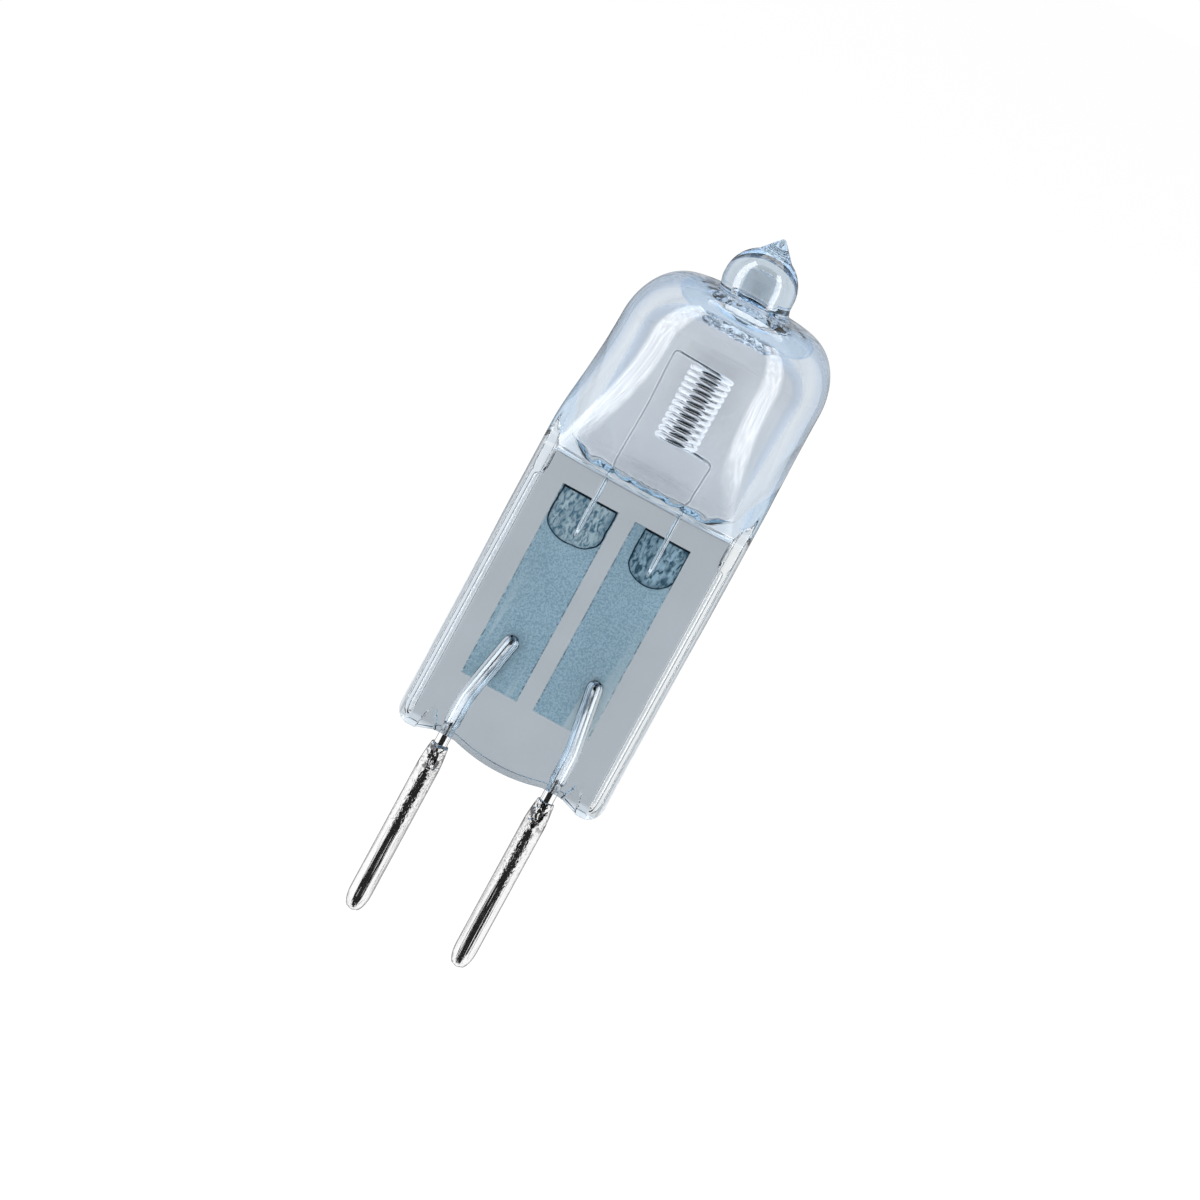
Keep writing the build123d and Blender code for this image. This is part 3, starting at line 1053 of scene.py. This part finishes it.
    def rings(self, quarters: Sequence[np.ndarray], profile: Profile) -> List[np.ndarray]:
        """Leaning rings of a shell from its quarter sections and the round part above them.

        Args:
            quarters: Quarter sections, from below.
            profile: Radius and height of each round ring above.

        Returns:
            The rings.
        """
        angle = np.linspace(0.0, QUARTER, len(quarters[0]))
        turned = [points(radius * np.sin(angle), radius * np.cos(angle), z) for radius, z in profile]
        return [self.lean(full_ring(quarter)) for quarter in (*quarters, *turned)]

    def outer_shell(self) -> bpy.types.Object:
        """Outside of the glass as one welded grid.

        Returns:
            The shell.
        """
        quarters = self.foot_rows()
        steps = ((-7.75, 0.0), (-1.85, 0.0), (-1.65, 0.0), (-1.55, 0.1), (-1.45, 0.2), (-1.25, 0.2),
                 (-0.55, 0.2))
        for rise, inner in steps:
            quarters.append(points(*self.pinch_section(inner, 1.0).T, self.pinch_top + rise))
        quarters += self.flare_rows()
        shell = Workbench.wrap("quartz_glass", self.rings(quarters, self.dome_profile()))
        bpy.ops.object.shade_smooth_by_angle(angle=math.radians(38.0))
        return shell

    def cavity(self) -> bpy.types.Object:
        """Gas space of the bulb with its rounded floor, the lip and the bore under the tip.

        Returns:
            The shell, with its faces looking inwards.
        """
        shares = np.linspace(0.0, 1.0, self.cavity_columns)
        floor = self.pinch_top + self.floor_lift
        start = floor + self.bowl_height
        wide, deep = self.bowl_half_width, self.bowl_half_depth
        quarters = []
        for angle in np.radians([0, 2, 4, 7, 11, 15, 20, 25, 30, 35, 40, 45, 50, 55, 60, 66, 72, 78, 84, 90]):
            power = 2.0 + self.bowl_squareness
            oval = superellipse(wide * max(math.sin(angle), 0.001), deep * math.sin(angle), power)
            x, y = resample(oval, shares).T
            dip = self.dip_depth * np.exp(-((x - self.dip_place) / 0.62) ** 2 - (y / 0.75) ** 2)
            hump = self.hump_height * np.exp(-(x / 1.1) ** 2 - (y / 0.8) ** 2)
            swell = np.array([noise.noise(Vector((*place, 9.0))) for place in points(x, y) * 2.0])
            uneven = (hump - dip + self.floor_swell * swell) * math.cos(angle) ** 0.5
            quarters.append(points(x, y, floor + self.bowl_height * (1.0 - math.cos(angle)) + uneven))
        for rise in np.linspace(0.0, 1.0, 34)[1:]:
            oval = blown_oval((wide, deep, self.bowl_squareness), self.cavity_radius, rise)
            height = start + (self.flare_top - start) * rise
            quarters.append(points(*resample(oval, shares).T, height))
        shell = Workbench.wrap("bulb_space", self.rings(quarters, self.hollow_profile()), Facing.INWARD)
        self.crumple_lip(shell)
        return shell

    def crumple_lip(self, shell: bpy.types.Object) -> None:
        """Make the fused lip uneven, as it is left when the exhaust tube is sealed on.

        Args:
            shell: The cavity's shell.
        """
        inside = self.dome_inside
        for vertex in shell.data.vertices:
            place = vertex.co / MM
            radius = math.hypot(place.x - 0.25, place.y)
            weight = float(smooth_step(inside - 1.2, inside - 0.35, place.z))
            weight *= 1.0 - float(smooth_step(inside + 0.4, inside + 0.9, place.z))
            weight *= 1.0 - float(smooth_step(2.2, 2.6, radius))
            if weight <= 0.0:
                continue
            rough = noise.noise(place * 2.2) + 0.5 * noise.noise(place * 5.1)
            swirl = noise.noise(place * 3.0 + Vector((7.0, 3.0, 1.0)))
            vertex.co.z += weight * self.lip_rough * rough * MM
            vertex.co.x += weight * self.lip_swirl * swirl * MM
        shell.data.update()

    def channel(self, name: str, path: np.ndarray, radius: float) -> bpy.types.Object:
        """Closed narrow channel round a wire, flat where the foil is.

        Args:
            name: Name of the object.
            path: Centre line in millimetres.
            radius: Its radius.

        Returns:
            The channel's form.
        """
        ends = np.minimum(path[:, 2] - path[0, 2], path[-1, 2] - path[:, 2])
        closing = np.clip(1.0 - ends / radius, 0.0, 1.0)
        form = Workbench.tube(name, path, radius * np.sqrt(1.0 - 0.9 * closing ** 2), 32)
        for vertex in form.data.vertices:
            vertex.co.y = min(vertex.co.y, self.foil_face * MM)
        form.data.update()
        return form

    def slot(self, name: str, centre: float, foil: FoilSize) -> bpy.types.Object:
        """Thin space in front of a foil, whose back the glass wets.

        Args:
            name: Name of the object.
            centre: X of the foil's middle.
            foil: Size of the foil.

        Returns:
            The slot's form.
        """
        Workbench.deselect()
        bpy.ops.mesh.primitive_cube_add(size=1.0)
        form = bpy.context.object
        form.name = name
        depth = foil.thickness * self.slot_share + self.slot_gap
        size = (foil.width + self.slot_margin, depth, foil.high - foil.low + self.slot_margin)
        middle = (centre, foil.front - self.slot_gap + depth / 2, (foil.low + foil.high) / 2)
        place = Matrix.Translation(Vector(middle) * MM) @ Matrix.Diagonal((*(Vector(size) * MM), 1.0))
        form.data.transform(place)
        return form

    def pocket(self, name: str, gap: PocketSize) -> bpy.types.Object:
        """Thin D-shaped gap in front of a foil's upper end.

        Args:
            name: Name of the object.
            gap: Its place and size.

        Returns:
            The gap's form.
        """
        half = gap.width / 2
        angle = np.linspace(math.pi, 2 * math.pi, 41)
        arc = points(half * np.cos(angle), gap.middle + (gap.middle - gap.low) * np.sin(angle))
        top, cut = gap.top, gap.chamfer
        roof = np.array([[half, top - cut], [half - cut, top], [cut - half, top], [-half, top - cut]])
        line = np.concatenate([arc, roof, arc[:1]])
        heart = np.array([0.0, (gap.top + gap.low) / 2 + 0.1])
        rows = []
        for share, depth in ((0.0, gap.front), (1.0, gap.front), (1.0, gap.back), (0.0, gap.back)):
            x, z = (heart + (line - heart) * share).T
            rows.append(points(x + gap.centre, depth, z))
        return Workbench.wrap(name, rows)

    def hollow(self, side: Side, lead: np.ndarray, leg: np.ndarray, gap: PocketSize,
               foil: FoilSize) -> bpy.types.Object:
        """All that is not filled with glass round one foil, as one shell that looks inwards.

        Args:
            side: Side of the pinch.
            lead: Centre line of the outer lead inside the pinch.
            leg: Centre line of the filament's leg inside the pinch.
            gap: The pocket in front of the foil.
            foil: Size of the foil.

        Returns:
            The shell.
        """
        shell = self.slot(f"pinch_hollow_{side.word}", foil.centre(side), foil)
        Workbench.unite(shell, self.pocket("pocket", gap))
        Workbench.unite(shell, self.channel("leg", leg, self.leg_channel))
        Workbench.unite(shell, self.channel("lead", lead, self.lead_channel))
        Workbench.turn_inwards(shell)
        return shell

    def build(self, leads: Sequence[np.ndarray], legs: Sequence[np.ndarray], gaps: Sequence[PocketSize],
              foil: FoilSize) -> None:
        """Make the glass with all the spaces in it and set it in the frame.

        Args:
            leads: Centre lines of the outer leads inside the pinch.
            legs: Centre lines of the filament's legs inside the pinch.
            gaps: The pockets in front of the foils.
            foil: Size of the foils.
        """
        shells = [self.outer_shell(), self.cavity()]
        for side, lead, leg, gap in zip(Side, leads, legs, gaps):
            shells.append(self.hollow(side, lead, leg, gap, foil))
        glass = Workbench.join(shells)
        material = self.finish.material(self.pinch_foot, self.pinch_top, self.dome_top)
        Workbench.seat(glass, material, "quartz", "quartz_envelope")


@dataclass
class Filament:
    """Tungsten wire with a standing coil and two legs. Sizes are in millimetres."""

    wire_radius: float = 0.088
    turn_radius: float = 0.13
    coil_radius: float = 1.1
    coil_bottom: float = 30.15
    pitch: float = 0.345
    turns: int = 12
    centre: float = 0.12
    lean: float = 4.25
    leg_foot: float = 2.16
    leg_depth: float = 0.265
    leg_low: float = 23.3
    knee: float = 27.9
    left_head: float = 2.25
    right_head: float = 2.45
    knee_rounding: float = 0.3
    merge: int = 8
    finish: WireFinish = WireFinish(
        "tungsten_wire", (0.92, 0.92, 0.92), (0.78, 0.78, 0.79), roughness=0.04, line_depth=0.000001,
        bloom_from=11.7, bloom_share=0.5, matt_beyond=2.0)

    @property
    def coil_top(self) -> float:
        """Height of the coil's upper end."""
        return self.coil_bottom + self.turns * self.pitch

    def leg(self, side: Side) -> np.ndarray:
        """Centre line of one leg from its foot to the coil.

        Args:
            side: Side of the leg.

        Returns:
            Points of the line.
        """
        foot = side.value * self.leg_foot
        head = side.value * (self.left_head if side is Side.LEFT else self.right_head)
        end = self.coil_top if side is Side.LEFT else self.coil_bottom
        slope = self.pitch / (2 * math.pi * self.coil_radius)
        corners = [(foot, self.leg_depth, self.leg_low), (foot, self.leg_depth, self.knee),
                   (head, self.coil_radius, end - head * slope), (self.centre, self.coil_radius, end)]
        return rounded_path(corners, self.knee_rounding)

    def leg_in_pinch(self, side: Side, top: float) -> np.ndarray:
        """Centre line of the leg's channel in the pinch, up to a height."""
        heights = np.linspace(self.leg_low - 0.04, top, 8)
        return points(side.value * self.leg_foot, self.leg_depth, heights)

    def path(self) -> np.ndarray:
        """Whole centre line, from one foot round the coil to the other.

        Returns:
            Points of the line.
        """
        turn = np.linspace(0.0, 2 * math.pi * self.turns, 48 * self.turns + 1)[1:-1]
        angle = QUARTER + turn
        coil = points(self.centre + self.coil_radius * np.cos(angle), self.coil_radius * np.sin(angle),
                      self.coil_bottom + self.pitch * turn / (2 * math.pi))
        return self.tilt(np.concatenate([self.leg(Side.RIGHT), coil, self.leg(Side.LEFT)[::-1]]))

    def tilt(self, path: np.ndarray) -> np.ndarray:
        """Let the coil lean back a little, as it hangs on its legs.

        Args:
            path: Centre line of the upright wire.

        Returns:
            Centre line with the coil leaning and the feet of the legs in place.
        """
        slope = math.sin(math.radians(self.lean)) * smooth_step(self.knee, self.coil_bottom, path[:, 2])
        middle = (self.coil_bottom + self.coil_top) / 2
        return path + points(0.0, (path[:, 2] - middle) * slope, -path[:, 1] * slope)

    def build(self) -> None:
        """Make the wire and set it in the frame."""
        path = self.path()
        radius = np.full(len(path), self.turn_radius)
        radius[:len(self.leg(Side.RIGHT))] = self.wire_radius
        radius[-len(self.leg(Side.LEFT)):] = self.wire_radius
        window = 2 * self.merge + 1
        padded = np.pad(radius, self.merge, mode="edge")
        radius = np.convolve(padded, np.full(window, 1 / window), mode="valid")
        wire = Workbench.tube("tungsten_filament", path, radius, 24)
        Workbench.seat(wire, self.finish.material(), "tungsten", "filament")


@dataclass
class SealingFoil:
    """One foil in the pinch, with feathered edges and a few soft creases. Sizes are in millimetres."""

    side: Side
    gap: PocketSize
    size: FoilSize
    finish: FoilFinish
    feather: float = 0.5
    edge_share: float = 0.25
    fold_depth: float = 0.004
    fold_height: float = 6.0

    def build(self) -> None:
        """Make the foil and set it in the frame."""
        size = self.size
        centre = size.centre(self.side)
        core = size.front + size.thickness / 2
        across = np.linspace(-size.width / 2, size.width / 2, 34)
        thin = (size.width / 2 - np.abs(across)) / self.feather + self.edge_share
        half = size.thickness / 2 * np.clip(thin, self.edge_share, 1.0)
        rows = []
        for z in np.linspace(size.low, size.high, 70):
            waves = [noise.noise(Vector((x * 1.3 + centre * 5, z * 0.25, 3.0))) for x in across]
            fading = float(1.0 - smooth_step(size.low, size.low + self.fold_height, z))
            middle = core + np.array(waves) * self.fold_depth * fading
            face = points(across + centre, middle - half, z)
            back = points(across + centre, middle + half, z)[::-1]
            rows.append(np.concatenate([face, back, face[:1]]))
        ends = [rows[0].copy(), rows[-1].copy()]
        for end in ends:
            end[:, 1] = core
        foil = Workbench.wrap(f"sealing_foil_{self.side.word}", [ends[0], *rows, ends[1]])
        material = self.finish.material(foil.name, centre, size.width / 2, self.gap)
        Workbench.seat(foil, material, "foil", f"foil_{self.side.word}")


@dataclass
class OuterLead:
    """One molybdenum rod from the contact pin up to the foil. Sizes are in millimetres."""

    side: Side
    lean: float
    radius: float = 0.375
    pitch_half: float = PIN_PITCH / 2
    bend: float = 13.05
    bend_softness: float = 0.12
    lean_height: float = 4.0
    low: float = 3.9
    high: float = 17.05
    end_rounding: float = 0.2
    end_taper: float = 0.35
    finish: WireFinish = WireFinish(
        "molybdenum_rod", (0.96, 0.97, 0.98), (0.16, 0.2, 0.22), roughness=0.12, line_depth=0.000004,
        bloom_from=14.4, bloom_share=0.8, matt_beyond=9.0)

    def path(self, low: float, high: float) -> np.ndarray:
        """Centre line between two heights.

        Args:
            low: Height of its lower end.
            high: Height of its upper end.

        Returns:
            Points of the line.
        """
        heights = np.linspace(low, high, 60)
        past = heights - self.bend
        inward = self.lean / self.lean_height * 0.5 * (past + np.sqrt(past ** 2 + self.bend_softness))
        return points(self.side.value * (self.pitch_half - inward), 0.0, heights)

    def build(self) -> None:
        """Make the rod and set it in the frame."""
        path = self.path(self.low, self.high)
        round_off = np.clip(1.0 - (self.high - path[:, 2]) / self.end_rounding, 0.0, 1.0)
        radius = self.radius * (1.0 - self.end_taper * round_off ** 2)
        rod = Workbench.tube(f"outer_lead_rod_{self.side.word}", path, radius, 32)
        Workbench.seat(rod, self.finish.material(), "molybdenum", f"outer_lead_{self.side.word}")


@dataclass
class ContactPin:
    """One plated contact with an ogive tip and a crimped shoulder. Sizes are in millimetres."""

    side: Side
    radius: float = 0.625
    length: float = 10.1
    tip: float = 1.2
    tip_radius: float = 0.175
    shoulder: float = 8.6
    shoulder_fall: float = 0.135
    crimp: float = 9.35
    crimp_depth: float = 0.07
    crimp_half: float = 0.3
    lip_radius: float = 0.43
    bore_radius: float = 0.376
    bore_end: float = 3.85
    pitch_half: float = PIN_PITCH / 2
    finish: ContactFinish = field(default_factory=ContactFinish)

    def profile(self) -> Profile:
        """Outline from the tip to the mouth and down the bore.

        Returns:
            Radius and height of each ring.
        """
        out = [(0.0, 0.0), (0.1, 0.0), (0.16, 0.004), (0.19, 0.03)]
        for share in np.linspace(0.08, 1.0, 14):
            bulge = math.sqrt(max(0.0, 1.0 - (1.0 - share) ** 2.1))
            out.append((self.tip_radius + (self.radius - self.tip_radius) * bulge, self.tip * share))
        out += [(self.radius, z) for z in (2.0, 4.0, 6.0, 7.6, 8.3, self.shoulder)]
        for share in np.linspace(0.08, 1.0, 16):
            height = self.shoulder + (self.length - 0.05 - self.shoulder) * share
            out.append((self.radius - self.shoulder_fall * share ** 1.7, height))
        out += [(0.47, self.length - 0.015), (self.lip_radius, self.length), (0.38, self.length - 0.01)]
        bore = self.bore_radius
        return out + [(bore, self.length - 0.2), (bore, self.bore_end), (0.0, self.bore_end)]

    def build(self) -> None:
        """Make the contact and set it in the frame."""
        angle = np.linspace(0.0, 2 * math.pi, 65)
        rows = []
        for radius, height in self.profile():
            x, y = radius * np.cos(angle), radius * np.sin(angle)
            dent = self.crimp_depth * max(0.0, 1.0 - ((height - self.crimp) / self.crimp_half) ** 2)
            if dent > 0.0 and radius > self.lip_radius:
                y = np.clip(y, dent - radius, radius - dent)
            rows.append(points(x + self.side.value * self.pitch_half, y, height))
        pin = Workbench.wrap(f"plated_contact_{self.side.word}", rows)
        Workbench.seat(pin, self.finish.material(), "contact", f"contact_pin_{self.side.word}")


@dataclass(frozen=True)
class Arc:
    """Part of a sphere that a card fills, in degrees: 0 is towards the camera, positive to the right."""

    middle: float
    half: float
    low: float
    high: float


@dataclass
class Studio:
    """Camera, pale floor, white surroundings, soft light and the cards that metal and glass reflect."""

    elevation: float = 8.7
    roll: float = 28.56
    distance: float = 0.315
    frame_width: float = 0.06296
    sensor: float = 36.0
    target: Point = (0.00059, 0.0, 0.0209)
    floor_height: float = -0.036
    floor_size: float = 8.0
    floor_colour: Colour = (0.35, 0.35, 0.35)
    floor_glow: float = 0.78
    sky_light: float = 0.6
    lamp_place: Point = (-0.35, -0.35, 0.75)
    lamp_size: float = 0.5
    lamp_power: float = 3.0
    card_radius: float = 0.06
    card_centre: float = 0.024
    strip_reach: float = 0.97
    hood_reach: float = 0.985
    through_glass: float = 0.8
    on_wires: float = 0.9

    def camera(self) -> None:
        """Long lens, a little above the bulb's middle, turned so that the bulb leans to the right."""
        lift = math.radians(self.elevation)
        turn = math.radians(self.roll)
        back = Vector((0.0, -math.cos(lift), math.sin(lift)))
        right = Vector((1.0, 0.0, 0.0))
        up = back.cross(right)
        across = right * math.cos(turn) + up * math.sin(turn)
        above = up * math.cos(turn) - right * math.sin(turn)
        bpy.ops.object.camera_add()
        camera = bpy.context.object
        camera.name = "photo_camera"
        matrix = Matrix((across, above, back)).transposed().to_4x4()
        matrix.translation = Vector(self.target) + back * self.distance
        camera.matrix_world = matrix
        camera.data.sensor_width = self.sensor
        camera.data.lens = self.sensor * self.distance / self.frame_width
        camera.data.clip_start = 0.01
        camera.data.clip_end = 20.0
        camera.data.dof.use_dof = False
        bpy.context.scene.camera = camera

    def world(self) -> None:
        """White for what the camera, metal and glass see, and a softer white as light on matt surfaces."""
        bench = NodeBench("white_studio", sky=True)
        level = self.level(bench, self.sky_light, 1.0)
        bpy.context.scene.world = bench.finish(bench.add("ShaderNodeBackground", Color=WHITE, Strength=level))

    def level(self, bench: NodeBench, plain: float, seen: float) -> Socket:
        """Brightness of the surroundings by the kind of ray.

        Args:
            bench: Tree to work in.
            plain: Brightness as light on matt surfaces.
            seen: Brightness as it is seen, also in metal and through glass.

        Returns:
            The brightness, higher where the glass takes a part of the light on its way to foils and wires.
        """
        path = bench.add("ShaderNodeLightPath").outputs
        clear = path["Is Transmission Ray"]
        shown = bench.math("MAXIMUM", path["Is Camera Ray"], path["Is Glossy Ray"])
        base = bench.ramp(bench.math("MAXIMUM", shown, clear), 0.0, 1.0, plain, seen)
        matt = bench.math("GREATER_THAN", path["Diffuse Depth"], 0.5)
        base = bench.math("ADD", base, bench.product(matt, clear, self.through_glass))
        behind = bench.math("COMPARE", path["Transmission Depth"], 4.0)
        metal = bench.math("GREATER_THAN", path["Glossy Depth"], 0.5)
        return bench.math("ADD", base, bench.product(behind, metal, self.on_wires))

    def floor(self) -> None:
        """Pale floor below the pins. It looks white and keeps the bulb's shadow."""
        Workbench.deselect()
        bpy.ops.mesh.primitive_plane_add(size=self.floor_size, location=(0.0, 0.0, 0.0))
        floor = bpy.context.object
        floor.name = "pale_floor"
        floor.data.transform(Matrix.Translation((0.0, 0.0, self.floor_height)))
        bench = NodeBench("pale_floor")
        matt = bench.add("ShaderNodeBsdfDiffuse", Color=self.floor_colour)
        glow = bench.add("ShaderNodeEmission", Strength=self.level(bench, 0.0, self.floor_glow))
        both = bench.add("ShaderNodeAddShader")
        bench.feed(matt.outputs[0], both.inputs[0])
        bench.feed(glow.outputs[0], both.inputs[1])
        floor.data.materials.append(bench.finish(both))

    def key(self) -> None:
        """Large soft lamp above and to the left, which gives the floor its shadow."""
        bpy.ops.object.light_add(type="AREA")
        lamp = bpy.context.object
        lamp.name = "soft_key"
        lamp.data.shape = "SQUARE"
        lamp.data.size = self.lamp_size
        lamp.data.energy = self.lamp_power
        lamp.location = self.lamp_place
        lamp.rotation_mode = "QUATERNION"
        lamp.rotation_quaternion = Vector(self.lamp_place).to_track_quat("Z", "Y")
        lamp.visible_glossy = False
        lamp.visible_transmission = False

    def sheet(self, name: str, rows: Sequence[np.ndarray]) -> bpy.types.Object:
        """Card that lamps and shadows pass and that the camera does not see.

        Args:
            name: Name of the card.
            rows: Its points in metres, row by row.

        Returns:
            The card.
        """
        card = Workbench.wrap(name, [row / MM for row in rows])
        card.visible_camera = False
        card.visible_diffuse = False
        card.visible_shadow = False
        return card

    def gore(self, name: str, arc: Arc, reach: float) -> bpy.types.Object:
        """Card bent to a part of a sphere round the bulb.

        Args:
            name: Name of the card.
            arc: Where it stands.
            reach: Share of the cards' radius at which it stands.

        Returns:
            The card.
        """
        turn = np.radians(np.linspace(arc.middle - arc.half, arc.middle + arc.half, 25))
        rows = []
        for height in np.radians(np.linspace(arc.low, arc.high, 33)):
            flat = self.card_radius * reach * math.cos(height)
            level = self.card_centre + self.card_radius * reach * math.sin(height)
            rows.append(points(flat * np.sin(turn), -flat * np.cos(turn), level))
        return self.sheet(name, rows)

    def hood(self, name: str, near: float, far: float, half: float, strength: float) -> None:
        """Arched card behind the bulb, which the glass shows along its rim.

        Args:
            name: Name of the card.
            near: Angle of its inner edge from the direction of the camera, in degrees.
            far: Angle of its outer edge.
            half: How far it reaches from the top to each side, in degrees.
            strength: Brightness, where 1 is white.
        """
        away = np.radians(np.linspace(near, far, 25))
        reach = self.card_radius * self.hood_reach
        rows = []
        for turn in np.radians(np.linspace(-half, half, 49)):
            level = self.card_centre + reach * np.sin(away) * math.cos(turn)
            rows.append(points(reach * np.sin(away) * math.sin(turn), -reach * np.cos(away), level))
        self.glare(self.sheet(name, rows), strength)

    def strip(self, name: str, arc: Arc, strength: float, fade: float = 0.0) -> None:
        """Bright strip that only the glass's reflections show, so that it adds no light to matt surfaces."""
        self.glare(self.gore(name, arc, self.strip_reach), strength, fade)

    def glare(self, card: bpy.types.Object, strength: float, fade: float = 0.0) -> None:
        """Dress a card that only the glass's own reflections show, with soft edges and streaks.

        Args:
            card: The card.
            strength: Brightness, where 1 is white.
            fade: Share of its height above the lower edge at which it has its full brightness.
        """
        bench = NodeBench(card.name)
        path = bench.add("ShaderNodeLightPath").outputs
        outside = bench.math("LESS_THAN", path["Transmission Depth"], 0.5)
        across, upward, _ = bench.split(bench.add("ShaderNodeTexCoord").outputs["UV"])
        mask = bench.band(across, 0.0, 1.0, 0.25)
        if fade > 0.0:
            mask = bench.product(mask, bench.ramp(upward, 0.45 * fade, fade))
        streaks = bench.ramp(bench.grain(420.0, 2.0, (1.0, 1.0, 0.03)), 0.35, 0.65, 0.55, 1.0)
        level = bench.math("ADD", bench.product(mask, streaks, strength - 1.0), 1.0)
        self.dress_card(card, bench, bench.product(path["Is Singular Ray"], outside), level)

    def flag(self, name: str, arc: Arc, grey: float, seen_by: Mirror) -> None:
        """Dark card that one kind of mirror shows and that is clear for everything else.

        Args:
            name: Name of the flag.
            arc: Where it stands.
            grey: How light it is.
            seen_by: What shows it.
        """
        bench = NodeBench(name)
        path = bench.add("ShaderNodeLightPath").outputs
        passed = path["Transmission Depth"]
        singular = path["Is Singular Ray"]
        if seen_by is Mirror.WIRES:
            shown = bench.math("COMPARE", passed, 4.0)
        elif seen_by is Mirror.PINS:
            rough = bench.math("LESS_THAN", singular, 0.5)
            shown = bench.product(rough, bench.math("LESS_THAN", passed, 0.5))
        else:
            across, _, _ = bench.split(bench.add("ShaderNodeTexCoord").outputs["UV"])
            soft = bench.band(across, 0.0, 1.0, 0.35)
            shown = bench.product(singular, bench.math("LESS_THAN", passed, 2.5), soft)
        mirrored = bench.math("GREATER_THAN", path["Glossy Depth"], 0.5)
        self.dress_card(self.gore(name, arc, 1.0), bench, bench.product(mirrored, shown), grey)

    def dress_card(self, card: bpy.types.Object, bench: NodeBench, shown: Socket, strength: Value) -> None:
        """Let a card shine where its mask is 1 and be clear elsewhere.

        Args:
            card: The card.
            bench: Tree to work in.
            shown: Mask of the rays that see the card.
            strength: Its brightness.
        """
        mix = bench.add("ShaderNodeMixShader")
        bench.feed(shown, mix.inputs[0])
        bench.feed(bench.add("ShaderNodeBsdfTransparent").outputs[0], mix.inputs[1])
        bench.feed(bench.add("ShaderNodeEmission", Strength=strength).outputs[0], mix.inputs[2])
        card.data.materials.append(bench.finish(mix))

    def build(self) -> None:
        """Set up the whole studio."""
        self.camera()
        self.world()
        self.floor()
        self.key()
        self.strip("strip_left", Arc(-68.0, 16.0, -78.0, 62.0), 12.0, fade=0.4)
        self.strip("strip_left_back", Arc(-115.0, 14.0, -70.0, 50.0), 1.6)
        self.strip("strip_right", Arc(56.0, 14.0, -78.0, 62.0), 12.5, fade=0.4)
        self.strip("strip_right_back", Arc(116.0, 18.0, -70.0, 50.0), 1.5)
        self.strip("strip_top", Arc(180.0, 100.0, 68.0, 84.0), 6.0)
        self.hood("rim_hood", near=116.0, far=179.0, half=125.0, strength=0.15)
        self.hood("crown_hood", near=84.0, far=140.0, half=55.0, strength=0.1)
        self.flag("front_flag", Arc(0.0, 38.0, -76.0, 30.0), 0.06, Mirror.GLASS)
        self.flag("pin_flag", Arc(0.0, 43.0, -79.0, 74.0), 0.02, Mirror.PINS)
        self.flag("pin_back_flag", Arc(180.0, 58.0, -70.0, 70.0), 0.4, Mirror.PINS)
        self.flag("coil_flag", Arc(0.0, 54.0, -14.5, 84.0), 0.0, Mirror.WIRES)
        self.flag("coil_low_flag", Arc(0.0, 54.0, -82.0, -26.0), 0.0, Mirror.WIRES)
        bpy.context.scene.view_settings.view_transform = "Standard"


def main() -> None:
    """Build every piece in order."""
    logging.basicConfig(level=logging.INFO, format="%(name)s %(message)s")
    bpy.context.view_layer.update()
    filament = Filament()
    leads = [OuterLead(Side.LEFT, lean=0.8), OuterLead(Side.RIGHT, lean=0.65)]
    gaps = [PocketSize(centre=-2.37, width=3.2), PocketSize(centre=2.23, width=2.7)]
    # The right foil's painted glints and shade are darker than the left one's.
    finishes = [FoilFinish(), FoilFinish(bare_painted_glint=(0.62, 0.85, 0.95), bare_painted_shade=(0.06, 0.14, 0.19))]
    foil = FoilSize()
    envelope = QuartzEnvelope()
    lead_paths = [lead.path(envelope.pinch_foot + 0.2, lead.high + 0.09) for lead in leads]
    leg_paths = [filament.leg_in_pinch(side, envelope.pinch_top + 0.33) for side in Side]
    envelope.build(lead_paths, leg_paths, gaps, foil)
    filament.build()
    for side, gap, lead, finish in zip(Side, gaps, leads, finishes):
        SealingFoil(side, gap, foil, finish).build()
        lead.build()
        ContactPin(side).build()
    Studio().build()


if __name__ == "__main__":
    main()
